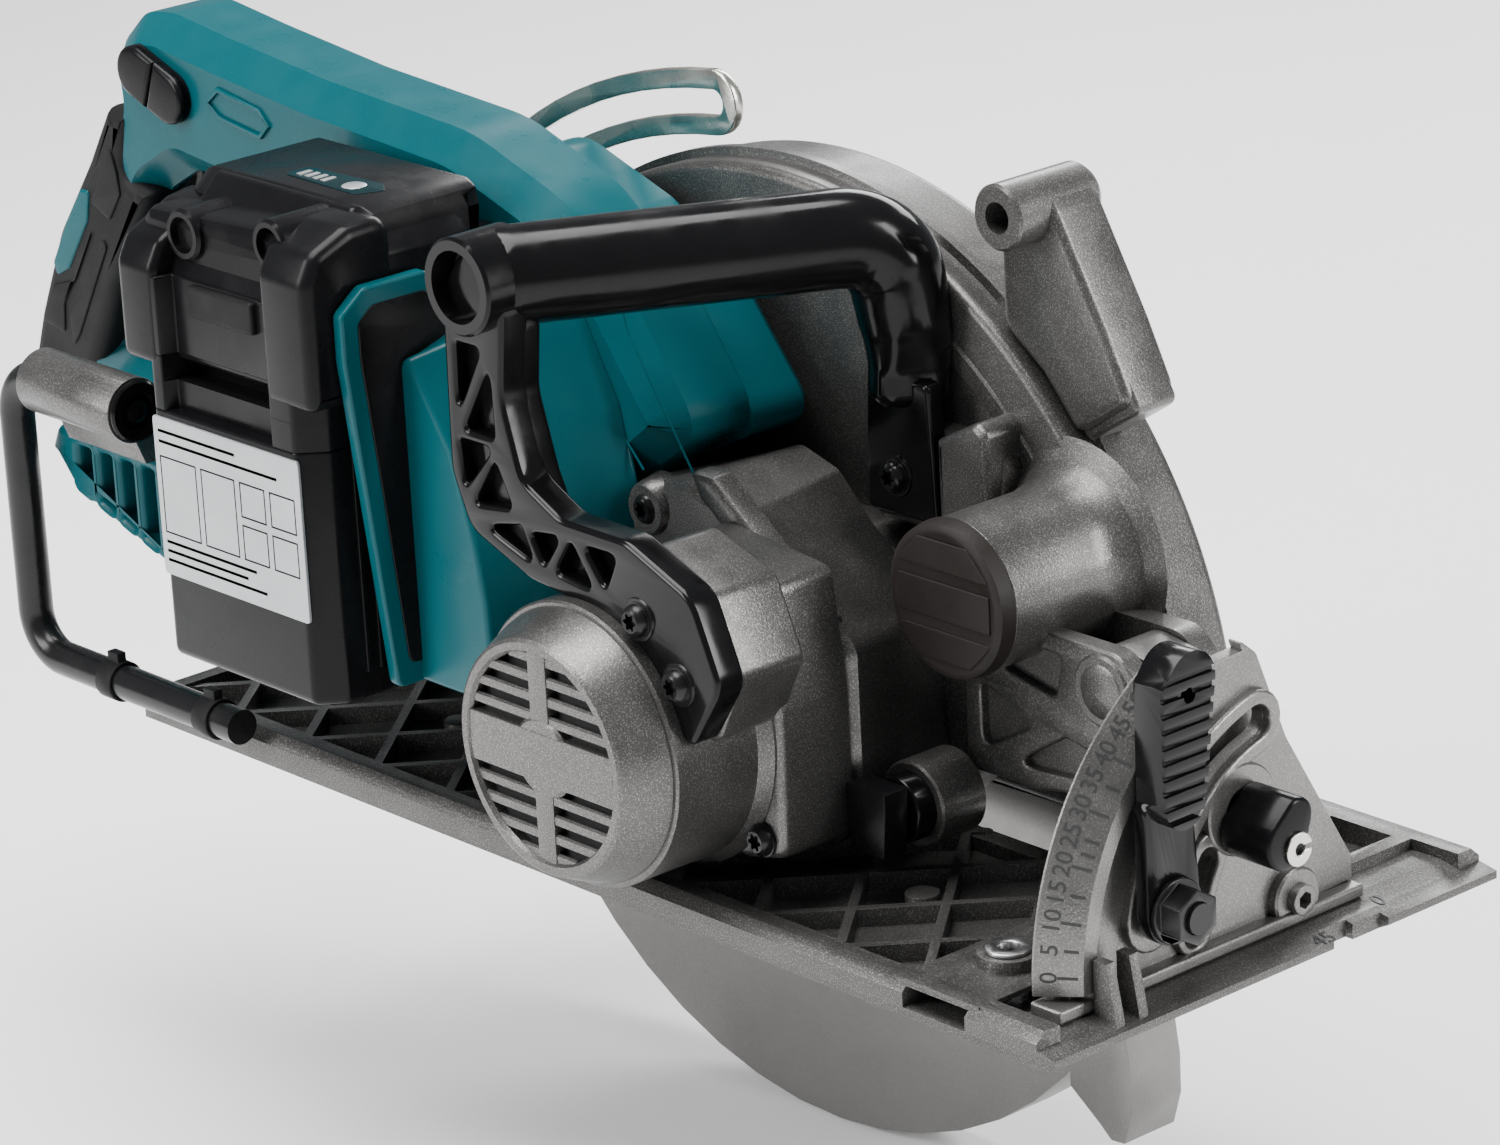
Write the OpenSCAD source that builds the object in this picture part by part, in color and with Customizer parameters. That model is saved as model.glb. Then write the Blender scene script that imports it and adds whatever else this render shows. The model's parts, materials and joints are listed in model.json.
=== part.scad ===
// Cordless rear-handle circular saw for a 260 mm blade.
// +X is the cutting direction, +Y is the blade side, +Z is up, and Z = 0 is the sole.

/* [Blade] */
// Diameter of the saw blade
blade_d = 260; // [250:1:262]
// Thickness of the blade's steel disc
blade_t = 2; // [1.6:0.1:2.4]
// Number of teeth
blade_teeth = 40; // [24:4:60]
// Height of the spindle above the sole at full depth
spindle_z = 27; // [27:0.5:28]

/* [Base] */
// Length of the base plate
base_l = 366; // [360:1:372]
// Width of the base plate
base_w = 159; // [157:1:162]
// Height of the rails around the base plate
rail_h = 9; // [8.5:0.1:9]

/* [Housings] */
// Outer radius of the upper blade guard
guard_r = 141; // [140:0.5:142]
// Width of the upper blade guard
guard_w = 30; // [30:0.5:31]
// Outer radius of the motor housing
motor_r = 38; // [37:0.5:39]
// Radius of the vent ring on the motor's end
vent_r = 31.5; // [30:0.5:32]

/* [Handles] */
// Diameter of the front handle's bar
bar_d = 26; // [24:1:27]
// Width of the rear handle across its two halves
grip_w = 36; // [34:1:36]

/* [Battery] */
// Battery length, along Z
batt_l = 132; // [128:1:133]
// Battery width, along X
batt_w = 75; // [72:1:76]

/* [Hidden] */
$fn = 96;

teal = "#00707c";
paint = "#56534f";
cast = "#8a8782";
black = "#141414";
rubber = "#2a2625";
steel = "#b8bab8";
zinc = "#c9c8be";
copper = "#b06a3a";

base_x1 = 200;
base_x0 = base_x1 - base_l;
base_y0 = -60;
base_y1 = base_y0 + base_w;
floor_t = 3;
slot_x0 = -142;
slot_x1 = 144;
slot_y0 = 27;
slot_y1 = 81;
fence_x0 = 147;
fence_x1 = 169;

blade_y = 53;
guard_y0 = blade_y - guard_w / 2;
guard_y1 = blade_y + guard_w / 2;
guard_wall = 3;
guard_cut_z = 14;
lower_r = blade_d / 2 + 4.5;
nozzle_x = 113;
nozzle_z = 86;
nozzle_r = 20.5;
boss_x = 94;
lock_x = 97;
boss_z = 173;

bevel_y = 37;
bevel_z = 12.5;
bevel_max = 56;
quad_r = 85;
quad_x0 = 180;
quad_x1 = 190;
bolt_slot_r = 52;
bolt_angle = 16;
stop_slot_r = 36;
bolt_y = bevel_y - bolt_slot_r * cos(bolt_angle);
bolt_z = bevel_z + bolt_slot_r * sin(bolt_angle);
pin_r = 4;
fit = 0.05;

pivot_x = 150;
pivot_z = 66;
rivet_x = -147.4;
rivet_z = 26;
guide_r = 160;
guide_ratio = -0.905;
depth_max = 31;
guide_y0 = 39.6;
guide_y1 = 42.6;
clamp_angle = 168;
clamp_x = guide_r * cos(clamp_angle);
clamp_z = spindle_z + guide_r * sin(clamp_angle);

foot_screws = [[68, 88], [82, 74]];
far_screw = [60, 99];
motor_x = 46;
motor_z = 50;
vent_y = -88;
gear1_module = 1.5;
gear2_module = 1.75;
motor_teeth = 8;
wheel_teeth = 30;
pinion_teeth = 12;
spindle_teeth = 22;
d1 = gear1_module * (motor_teeth + wheel_teeth) / 2;
d2 = gear2_module * (pinion_teeth + spindle_teeth) / 2;
d12 = norm([motor_x, motor_z - spindle_z]);
along = (d1 * d1 - d2 * d2 + d12 * d12) / (2 * d12);
aside = sqrt(d1 * d1 - along * along);
dir = [-motor_x, spindle_z - motor_z] / d12;
counter_x = motor_x + along * dir[0] + aside * dir[1];
counter_z = motor_z + along * dir[1] - aside * dir[0];

handle_y = 0;
trigger_at = [-191, 148];
button_a = [-200.4, 174.6];
button_b = [-185.6, 169.2];
button_r = 7.5;
low_z = 12;
batt_x0 = -117;
batt_x1 = batt_x0 + batt_w;
batt_z0 = 40;
batt_z1 = batt_z0 + batt_l;
batt_seam = 124;
tube_y = -65.6;
tube_z = 96;
tube_r = 9.3;
tube_x0 = -193.5;
tube_x1 = -150;
hook_r = 5;

// ---- helpers: profiles drawn in X-Z or Y-Z and given a thickness ----

module box(lo, hi) {
    translate(lo) cube(hi - lo);
}

module plate_y(y0, y1) {
    translate([0, y1, 0]) rotate([90, 0, 0]) linear_extrude(y1 - y0) children();
}

module plate_x(x0, x1) {
    translate([x0, 0, 0]) rotate([90, 0, 90]) linear_extrude(x1 - x0) children();
}

module rod_y(r, y0, y1, at) {
    translate([at[0], y1, at[1]]) rotate([90, 0, 0]) cylinder(r = r, h = y1 - y0);
}

module rod_x(r, x0, x1, at) {
    translate([x0, at[0], at[1]]) rotate([0, 90, 0]) cylinder(r = r, h = x1 - x0);
}

module rod_z(r, z0, z1, at) {
    translate([at[0], at[1], z0]) cylinder(r = r, h = z1 - z0);
}

module tube_y(r1, r0, y0, y1, at) {
    difference() {
        rod_y(r1, y0, y1, at);
        rod_y(r0, y0 - 1, y1 + 1, at);
    }
}

// A ring sector in a plane, between two radii and two angles
function arc(r, a0, a1, n = 24) =
    [for (i = [0:n]) let (a = a0 + (a1 - a0) * i / n) r * [cos(a), sin(a)]];

// The same without its two ends
function arc_middle(r, a0, a1, n = 24) =
    [for (i = [1:n - 1]) let (a = a0 + (a1 - a0) * i / n) r * [cos(a), sin(a)]];

module sector(r0, r1, a0, a1) {
    polygon(concat(arc(r1, a0, a1), arc(r0, a1, a0)));
}

// Half a circle round p, from angle a0 anticlockwise
function half_round(p, r, a0) = [for (i = [0:12]) p + r * [cos(a0 + 15 * i), sin(a0 + 15 * i)]];

// A bar with two round ends of radius r
module bar(r, a, b) {
    turn = atan2(b[1] - a[1], b[0] - a[0]);
    polygon(concat(half_round(a, r, turn + 90), half_round(b, r, turn - 90)));
}

// A point on the quadrant, by radius and angle above the motor side of the bevel axis
function on_quadrant(r, a) = [bevel_y - r * cos(a), bevel_z + r * sin(a)];

module arc_slot(r, w, a0, a1, x0, x1) {
    b0 = 180 - a1;
    b1 = 180 - a0;
    plate_x(x0, x1) translate([bevel_y, bevel_z]) polygon(concat(arc_middle(r + w / 2, b0, b1),
        half_round(r * [cos(b1), sin(b1)], w / 2, b1), arc_middle(r - w / 2, b1, b0),
        half_round(r * [cos(b0), sin(b0)], w / 2, b0 + 180)));
}

// Screw along -Y with a pan head, its head's underside at y0
module screw_y(x, y0, z, r = 2.5, depth = 10) {
    difference() {
        union() {
            rod_y(r * 1.9, y0 - r * 1.3, y0, [x, z]);
            rod_y(r, y0 - 0.5, y0 + depth, [x, z]);
        }
        translate([x, y0 - r * 0.7, z]) rotate([90, 0, 0]) cylinder(r = r * 0.9, h = r, $fn = 6);
    }
}

// A spur wheel: straight-flanked teeth narrow enough to run with clearance
module gear_profile(m, n, turn) {
    pitch = 360 / n;
    r = m * n / 2;
    polygon([for (i = [0:n - 1]) for (k = [[-0.30, -1.2], [-0.21, 0], [-0.11, 0.9], [0.11, 0.9], [0.21, 0],
        [0.30, -1.2]]) let (a = turn + pitch * (i + k[0])) (r + k[1] * m) * [cos(a), sin(a)]]);
}

module gear(m, n, y0, y1, at, turn) {
    translate([at[0], 0, at[1]]) plate_y(y0, y1) gear_profile(m, n, turn);
}

counter_to_motor = atan2(motor_z - counter_z, motor_x - counter_x);
counter_to_spindle = atan2(spindle_z - counter_z, -counter_x);

// ---- base ----

module base_plate() {
    module rib(x, y, length, angle) {
        translate([x, y, 0]) rotate([0, 0, angle]) translate([-length / 2, -1.3, 0])
            cube([length, 2.6, rail_h - 1]);
    }
    module rail_profile() {
        polygon([[0, 0], [0, 6.3], [3, rail_h], [8, rail_h], [8, 0]]);
    }
    color(paint) difference() {
        union() {
            box([base_x0 + 1, base_y0 + 1, 0], [base_x1 - 22, base_y1 - 1, floor_t]);
            translate([0, base_y0, 0]) plate_x(base_x0, base_x1 - 6) rail_profile();
            translate([0, base_y1, 0]) mirror([0, 1, 0]) plate_x(base_x0, base_x1 - 6) rail_profile();
            translate([base_x0, 0, 0]) plate_y(base_y0, base_y1) rail_profile();
            // front lip, sloping down to the edge
            plate_y(base_y0, base_y1) polygon([[base_x1 - 22, 0], [base_x1 - 3, 0], [base_x1, 1.5],
                [base_x1, 3.6], [base_x1 - 12, 6], [base_x1 - 22, 6]]);
            // rim around the blade slot
            box([slot_x0 - 6, slot_y0 - 6, 0], [slot_x1 + 3, slot_y0, rail_h - 2]);
            box([-36, 10, 0], [36, 22, rail_h - 2]);
            intersection() {
                box([base_x0 + 4, base_y0 + 4, 0], [fence_x0 - 4, slot_y0 - 1, rail_h]);
                for (i = [0:10], s = [-1, 1]) rib(base_x0 + 4 + 31 * i, -16, 110, 50 * s);
            }
            for (i = [0:4]) rod_z(4.5, 0, rail_h - 0.7, [-140 + 62 * i, -16]);
            // fence tunnel with the clamp screw's boss, and the raised pocket at the left front
            box([fence_x0 - 4, base_y0 + 2, 0], [fence_x0, slot_y0 - 1, rail_h]);
            box([fence_x0 - 4, base_y0 + 2, 7.6], [fence_x1 + 3, 8, rail_h]);
            rod_z(8, 7.6, 12.4, [158, -34]);
            box([slot_x1 + 3, 62, 0], [base_x1 - 22, base_y1 - 4, rail_h]);
            // ear for the rear bevel pin, and two upright flanges at the front corner
            hull() {
                rod_x(8, -158, -151.5, [bevel_y, bevel_z]);
                box([-158, bevel_y - 8, 0], [-151.5, bevel_y + 8, 4]);
            }
            for (y = [-37, -29]) plate_y(y, y + 3)
                polygon([[190.6, 2], [198, 2], [198, 5], [195, 20], [190.6, 20]]);
        }
        box([slot_x0, slot_y0, -1], [slot_x1, slot_y1, 30]);
        box([-30, 15, -1], [30, slot_y0 + 1, 30]);
        box([-151.5, bevel_y - 12, -1], [slot_x0 + 1, bevel_y + 12, 30]);
        box([fence_x1 - 3, bevel_y - 62, floor_t], [quad_x0 - 1, bevel_y + 13, 30]);
        box([fence_x0, base_y0 - 1, 2.4], [fence_x1, slot_y0 - 3, 7.6]);
        rod_z(4.5, 5, 20, [158, -34]);
        rod_x(pin_r, -170, -140, [bevel_y, bevel_z]);
        box([slot_x1 + 8, 68, floor_t], [fence_x1 + 4, base_y1 - 10, 30]);
        // steps in the front lip that show the cutting line
        for (step = [[38, 5.5], [48, 3]]) box([base_x1 - step[1], step[0], -1], [base_x1 + 1, step[0] + 10, 9]);
        for (y = [-30, 30]) rod_z(2.2, -1, 9, [186.5, y]);
    }
}

// The web's outline: it stays inside the conical rim and fills the gap under the rim's lower end
module quadrant_outline() {
    polygon(concat([[bevel_y - quad_r, bevel_z + 0.5]],
        [for (a = [0:4:56]) on_quadrant(quad_r - 9, a)],
        [on_quadrant(quad_r - 5, 58), [20, 86], [27, 80], [37, 55], [60, 16], [60, 6],
        [bevel_y - quad_r, 6]]));
}

module bevel_quadrant() {
    color(cast) difference() {
        union() {
            plate_x(182, 186) quadrant_outline();
            // conical rim that carries the scale
            intersection() {
                difference() {
                    translate([quad_x0, bevel_y, bevel_z]) rotate([0, 90, 0])
                        cylinder(r1 = quad_r, r2 = quad_r - 8, h = quad_x1 - quad_x0);
                    rod_x(quad_r - 13, quad_x0 - 1, quad_x1 + 1, [bevel_y, bevel_z]);
                }
                plate_x(quad_x0 - 1, quad_x1 + 1) polygon(concat([[bevel_y, bevel_z - 0.1]],
                    [for (a = [0:6:60]) on_quadrant(quad_r + 4, a)]));
            }
            // foot, hub and the raised borders of the two slots
            box([quad_x0, bevel_y - quad_r, 6], [quad_x1, 60, 9.5]);
            rod_x(8, quad_x0, quad_x1 - 1, [bevel_y, bevel_z]);
            arc_slot(bolt_slot_r, 17, 8, 72, 186, 188.5);
            arc_slot(stop_slot_r, 12, 4, 34, 186, 188.5);
            rod_x(12, 186, 189, [18, 42]);
        }
        arc_slot(bolt_slot_r, 9, 12, 76, 181, 191);
        arc_slot(stop_slot_r, 7, 2, 32, 181, 191);
        rod_x(pin_r, 170, 200, [bevel_y, bevel_z]);
        rod_x(3.1, 170, 200, [18, 42]);
        box([170, -60, 0], [200, 80, 6.02]);
        for (y = [-30, 30]) rod_z(2, 0, 8.5, [186.5, y]);
        plate_x(187, 191) polygon([[4, 66], [16, 78], [24, 74], [28, 58]]);
    }
}

module quadrant_screws() {
    color(steel) for (y = [-30, 30]) {
        rod_z(1.95, 0.4, 8.4, [186.5, y]);
    }
}

module fence_insert() {
    color(steel) difference() {
        union() {
            rod_z(4.45, 7.7, 13, [158, -34]);
            rod_z(6, 12.42, 13.6, [158, -34]);
        }
        rod_z(3, 5, 20, [158, -34]);
    }
}

module fence_screw() {
    color(zinc) {
        rod_z(2, 9.02, 14, [170, -30.5]);
        rod_z(3.6, 14, 17, [170, -30.5]);
    }
}

module bevel_pin_front() {
    color(steel) difference() {
        rod_x(pin_r, 167.6, quad_x1 + 1.5, [bevel_y, bevel_z]);
        translate([quad_x1 - 3, bevel_y, bevel_z]) rotate([0, 90, 0]) cylinder(r = 2.3, h = 8, $fn = 6);
    }
}

module bevel_pin_rear() {
    color(steel) rod_x(pin_r, -159, -143.2, [bevel_y, bevel_z]);
}

// ---- tilting brackets ----

module front_bracket() {
    color(cast) difference() {
        union() {
            plate_x(168.5, 178) hull() {
                translate([bevel_y, bevel_z]) circle(r = 8.8);
                translate([bolt_y, bolt_z]) circle(r = 9);
                translate([14, 68]) circle(r = 7);
                translate([30, 66]) circle(r = 6);
            }
            // tongue between the arm's cheeks
            plate_y(15.2, 30.8) hull() {
                translate([pivot_x, pivot_z]) circle(r = 10);
                translate([170, 28]) square([6, 44]);
            }
        }
        rod_y(5 + fit, 0, 50, [pivot_x, pivot_z]);
        rod_x(pin_r + fit, 160, 185, [bevel_y, bevel_z]);
        rod_x(4, 160, 185, [bolt_y, bolt_z]);
    }
}

module bevel_bolt() {
    color(steel) {
        rod_x(3.96, 168.6, 204, [bolt_y, bolt_z]);
        translate([164.6, bolt_y, bolt_z]) rotate([0, 90, 0]) cylinder(r = 7, h = 3.85, $fn = 6);
    }
}

module bevel_lever() {
    color(black) difference() {
        union() {
            plate_x(191, 195) hull() {
                translate([bolt_y, bolt_z]) circle(r = 9);
                translate([bolt_y - 1, bolt_z + 26]) circle(r = 8);
            }
            plate_x(191, 201) hull() {
                translate([bolt_y - 1, bolt_z + 30]) circle(r = 7);
                translate([bolt_y - 2, bolt_z + 56]) square([12, 9], center = true);
                translate([bolt_y + 2, bolt_z + 60]) circle(r = 8);
            }
        }
        rod_x(4.03, 180, 210, [bolt_y, bolt_z]);
        rod_x(2, 180, 210, [bolt_y + 1, bolt_z + 57]);
        for (i = [0:9]) box([200, bolt_y - 14, bolt_z + 25 + 4 * i], [202, bolt_y + 14, bolt_z + 26.6 + 4 * i]);
    }
}

module bevel_nut() {
    color(steel) difference() {
        union() {
            rod_x(8.5, 195.1, 196.6, [bolt_y, bolt_z]);
            translate([196.6, bolt_y, bolt_z]) rotate([0, 90, 0]) cylinder(r = 7.4, h = 6.4, $fn = 6);
        }
        rod_x(4.02, 190, 210, [bolt_y, bolt_z]);
    }
}

module bevel_stop_knob() {
    color(rubber) {
        rod_x(3.03, 183, 192, [18, 42]);
        plate_x(189.1, 206) hull() {
            translate([16, 38]) circle(r = 7);
            translate([20, 44]) circle(r = 5);
        }
    }
}

module stop_clip() {
    color(zinc) difference() {
        rod_x(4.4, 206.02, 207, [19, 36]);
        rod_x(1.6, 205, 208, [19, 36]);
        box([205, 19, 35.2], [208, 25, 36.8]);
    }
}

module rear_bracket() {
    color(cast) difference() {
        union() {
            rod_x(8, -151.2, -143.2, [bevel_y, bevel_z]);
            box([-151.2, 35, bevel_z], [-143.2, 38.9, rivet_z + 6]);
            box([-151.2, 31, bevel_z], [-143.2, 36, bevel_z + 8]);
        }
        rod_x(pin_r + fit, -160, -140, [bevel_y, bevel_z]);
        rod_y(2.5, 25, 45, [rivet_x, rivet_z]);
    }
}

// Turning by t about the Y axis, in X-Z
function turned(p, t) = [p[0] * cos(t) + p[1] * sin(t), p[1] * cos(t) - p[0] * sin(t)];

// Where the clamp bolt sits on the guide when the saw is raised by t; the slot follows it
function clamp_on_guide(t) = let (pivot = [pivot_x, pivot_z], rivet = [rivet_x, rivet_z])
    rivet + turned(pivot + turned([clamp_x, clamp_z] - pivot, t) - rivet, -guide_ratio * t);

function across(t) = let (d = clamp_on_guide(t + 0.5) - clamp_on_guide(t - 0.5)) atan2(-d[0], d[1]);

// The band of half-width w round the bolt's path, with round ends
module guide_band(w) {
    ts = [for (i = [0:24]) -1 + (depth_max + 2) * i / 24];
    function side(i, s) = clamp_on_guide(ts[i]) + s * w * [cos(across(ts[i])), sin(across(ts[i]))];
    ends = [clamp_on_guide(ts[24]), clamp_on_guide(ts[0])];
    polygon(concat([for (i = [1:23]) side(i, -1)], guide_end(ends[0], w, across(ts[24]) + 180),
        [for (i = [23:-1:1]) side(i, 1)], guide_end(ends[1], w, across(ts[0]))));
}

// A round end, going clockwise from angle a0
function guide_end(p, r, a0) = [for (i = [0:12]) p + r * [cos(a0 - 15 * i), sin(a0 - 15 * i)]];

module depth_guide() {
    color(zinc) difference() {
        plate_y(guide_y0, guide_y1) {
            guide_band(9);
            bar(4.8, [rivet_x, rivet_z], clamp_on_guide(-1) + [-1, -4]);
        }
        plate_y(guide_y0 - 1, guide_y1 + 1) guide_band(3.6);
        rod_y(2.55, 30, 50, [rivet_x, rivet_z]);
    }
}

module guide_rivet() {
    color(steel) {
        rod_y(2.5, 34, 43.6, [rivet_x, rivet_z]);
        rod_y(4.6, 32.6, 34.9, [rivet_x, rivet_z]);
        rod_y(4.6, 42.75, 44.2, [rivet_x, rivet_z]);
    }
}

// ---- blade guards ----

module hinge_cheek() {
    polygon([[100, 34], [100, 60], [114, 77], [156, 77], [163, 70], [163, 38], [124, 34]]);
}

module upper_guard() {
    color(paint) difference() {
        union() {
            intersection() {
                union() {
                    rod_y(guard_r, guard_y0, guard_y1, [0, spindle_z]);
                    intersection() {
                        rod_y(guard_r + 2.5, guard_y0 + 9, guard_y0 + 12, [0, spindle_z]);
                        box([-160, 0, 34], [160, 90, 200]);
                    }
                }
                box([-160, 0, guard_cut_z], [160, 90, 200]);
            }
            // dust nozzle
            rod_y(nozzle_r, -4, guard_y0 + 1, [nozzle_x, nozzle_z]);
            // hinge arm: two cheeks and the web that joins them to the guard
            plate_y(9, 14.6) hinge_cheek();
            plate_y(31.4, guard_y0 + 1) hinge_cheek();
            box([100, 12, 36], [128, guard_y0 + 1, 62]);
            // foot of the front handle
            box([48, 30, 84], [94, guard_y0 + 1, 111.5]);
            box([75.2, 26, 89], [94, guard_y0 + 1, 119]);
            // threaded boss at the top front, with its arm along the rim
            rod_y(8.5, 32, 62, [boss_x, boss_z]);
            plate_y(42, 60) polygon([[86, 171], [94, 181], [102, 176], [127, 129], [110, 118], [84, 138]]);
        }
        rod_y(guard_r - guard_wall, guard_y0 + guard_wall, guard_y1 - guard_wall, [0, spindle_z]);
        rod_y(25.5, 30, 50, [0, spindle_z]);
        rod_y(nozzle_r - 3, -10, guard_y0 + guard_wall + 1, [nozzle_x, nozzle_z]);
        rod_y(4, 20, 52, [boss_x, boss_z]);
        rod_y(5, 0, 50, [pivot_x, pivot_z]);
        // lightening pockets between the near cheek's ribs
        plate_y(8, 11) polygon([[106, 40], [106, 57], [128, 50]]);
        plate_y(8, 11) polygon([[112, 62], [118, 72], [136, 72], [134, 60]]);
        plate_y(8, 11) polygon([[134, 54], [112, 38], [140, 38], [158, 42], [158, 48]]);
        // room to lean over the base plate at full bevel
        translate([0, bevel_y, bevel_z]) rotate([bevel_max, 0, 0]) box([-200, -60, -60], [200, 80, -2]);
        box([-200, guard_y0 + guard_wall, -20], [200, 90, guard_cut_z]);
        box([-200, guard_y1 - guard_wall - 1, -20], [200, 90, 56]);
        rod_y(2.55, 25, 45, far_screw);
    }
}

// Half disc with the fin at its front
module lower_profile(r) {
    sector(1, r, 178, 352);
    polygon([[100, -60], [98, -96], [109, -104], [113, -107.4], [118, -107], [121, -97], [121, -86], [117, -60]]);
}

module lower_guard() {
    near_y = guard_y0 + 5.5;
    far_y = guard_y1 - 5.5;
    color(cast) difference() {
        union() {
            translate([0, 0, spindle_z]) plate_y(near_y, far_y) lower_profile(lower_r);
            rod_y(27, near_y - 0.6, near_y + 1.6, [0, spindle_z]);
        }
        translate([0, 0, spindle_z]) plate_y(near_y + 1.6, far_y - 1.6) sector(0.5, lower_r - 1.8, 170, 360);
        rod_y(80, near_y + 2, 80, [0, spindle_z]);
        rod_y(20 + fit, 30, 60, [0, spindle_z]);
        rod_y(2.2, 40, 60, [24.5, spindle_z]);
    }
}

module guard_ring() {
    color(steel) tube_y(24, 20.02, 45.4, 46.4, [0, spindle_z]);
}

module guard_spring() {
    color(steel) for (i = [0:2]) tube_y(24.6, 23.4, 38.4 + 1.4 * i, 39.4 + 1.4 * i, [0, spindle_z]);
}

// ---- gear train and blade ----

module gear_housing() {
    color(paint) difference() {
        union() {
            plate_y(-20, 25) polygon([[-26, 36], [-24, 74], [8, 98], [28, 103], [48, 97], [66, 84], [88, 70],
                [88, 24], [76, 12], [-8, 12]]);
            rod_y(11.5, -8, 7, [lock_x, spindle_z]);
            plate_y(25, guard_y0 - 0.1) polygon([[-24, 24], [-22, 72], [8, 82], [46, 82], [88, 66], [88, 24],
                [76, 12], [22, 12], [22, 3.5], [-22, 3.5]]);
            plate_y(16.5, 26) polygon([[-24, 30], [24, 30], [24, 3.5], [-24, 3.5]]);
            rod_y(20, 30, 47, [0, spindle_z]);
        }
        // motor bearing seat and shaft
        rod_y(11, -21, -10, [motor_x, motor_z]);
        rod_y(5.5, -12, 6, [motor_x, motor_z]);
        // chambers of the two gear stages
        rod_y(10, 5, 17, [motor_x, motor_z]);
        rod_y(25.6, 5, 15.6, [counter_x, counter_z]);
        rod_y(13.2, 15, 36, [counter_x, counter_z]);
        rod_y(22.4, 20.5, 34, [0, spindle_z]);
        rod_y(4, -2, 10, [counter_x, counter_z]);
        // spindle bearing and seal seat
        rod_y(16, 33, 44, [0, spindle_z]);
        rod_y(9, 40, 50, [0, spindle_z]);
        rod_y(8.2, 15.4, 22, [0, spindle_z]);
        rod_y(9.02, -21, 8, [lock_x, spindle_z]);
        rod_y(2.55, -30, -8, [14, 92]);
        rod_y(2.55, -30, -8, [80, 24]);
    }
}

module motor_bearings() {
    color(steel) {
        tube_y(10.95, 3.5, -20, -11, [motor_x, motor_z]);
        tube_y(9.45, 3.5, -80, -74, [motor_x, motor_z]);
    }
}

module spindle_bearings() {
    color(steel) {
        tube_y(15.95, 8, 34.5, 43.5, [0, spindle_z]);
        tube_y(8.15, 5, 15.6, 20.3, [0, spindle_z]);
    }
}

module countershaft() {
    color(steel) {
        gear(gear1_module, wheel_teeth, 7, 15, [counter_x, counter_z], counter_to_motor + 180 / wheel_teeth);
        gear(gear2_module, pinion_teeth, 15, 33, [counter_x, counter_z], counter_to_spindle);
        rod_y(3.95, -1.5, 8, [counter_x, counter_z]);
    }
}

module rotor() {
    color(steel) {
        rod_y(3.45, -82, 8, [motor_x, motor_z]);
        rod_y(15, -58, -32, [motor_x, motor_z]);
        gear(gear1_module, motor_teeth, 7, 16, [motor_x, motor_z], counter_to_motor + 180);
    }
}

module fan() {
    color(black) difference() {
        union() {
            rod_y(28, -24, -22.4, [motor_x, motor_z]);
            rod_y(7, -29, -22.4, [motor_x, motor_z]);
            for (a = [0:30:330]) translate([motor_x, 0, motor_z]) rotate([0, a, 0])
                box([8, -29, -0.8], [27, -23, 0.8]);
        }
        rod_y(3.45, -40, -10, [motor_x, motor_z]);
    }
}

module stator() {
    color(steel) tube_y(30.9, 16, -58, -34, [motor_x, motor_z]);
}

module windings() {
    color(copper) {
        tube_y(28, 19, -63, -58.02, [motor_x, motor_z]);
        tube_y(28, 19, -33.98, -30, [motor_x, motor_z]);
    }
}

module motor_housing() {
    color(paint) difference() {
        union() {
            rod_y(motor_r, -75, -20.1, [motor_x, motor_z]);
            rod_y(motor_r + 2.5, -44, -20.1, [motor_x, motor_z]);
            // pad under the front handle's foot
            plate_y(-61.8, -40) polygon([[46, 84], [62, 104], [86, 96], [95, 76], [86, 58], [70, 50]]);
            plate_y(-44, -20.1) polygon([[50, 80], [40, 96], [84, 92], [88, 60], [88, 20], [70, 16]]);
        }
        rod_y(31, -80, -10, [motor_x, motor_z]);
        for (at = foot_screws) rod_y(2.55, -70, -50, at);
        rod_y(2.55, -50, -15, [80, 24]);
    }
}

module vent_cover() {
    slat = 5.4;
    color(cast) difference() {
        union() {
            difference() {
                translate([motor_x, vent_y, motor_z]) rotate([-90, 0, 0])
                    cylinder(r1 = vent_r, r2 = motor_r - 1.5, h = 12.9);
                rod_y(vent_r - 3, vent_y - 1, -70, [motor_x, motor_z]);
            }
            // slats, and the bars that hold them
            intersection() {
                rod_y(vent_r - 2, vent_y + 1, vent_y + 4, [motor_x, motor_z]);
                union() {
                    for (i = [-5:5]) if (abs(i) > 1) translate([0, 0, motor_z + slat * i])
                        box([0, -90, -1.1], [90, -70, 1.1]);
                    box([0, -90, motor_z - 7], [90, -70, motor_z + 7]);
                    box([motor_x - 4, -90, 0], [motor_x + 4, -70, 90]);
                }
            }
            rod_y(12, vent_y + 0.6, -73, [motor_x, motor_z]);
        }
        rod_y(9.5, -81, -60, [motor_x, motor_z]);
        rod_y(4, -83.5, -60, [motor_x, motor_z]);
    }
}

module housing_screws() {
    color(black) {
        screw_y(14, -20.1, 92);
        screw_y(80, -44.1, 24, 2.5, 34);
    }
}

module spindle() {
    color(steel) {
        rod_y(7.95, 20.5, 57.6, [0, spindle_z]);
        rod_y(4.95, 15.5, 21, [0, spindle_z]);
        gear(gear2_module, spindle_teeth, 22, 32, [0, spindle_z], counter_to_spindle + 180 + 180 / spindle_teeth);
    }
}

module blade_flanges() {
    color(steel) {
        tube_y(22, 7.95, 47.6, blade_y - blade_t / 2, [0, spindle_z]);
        tube_y(22, 7.95, blade_y + blade_t / 2, 57.4, [0, spindle_z]);
    }
}

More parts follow.
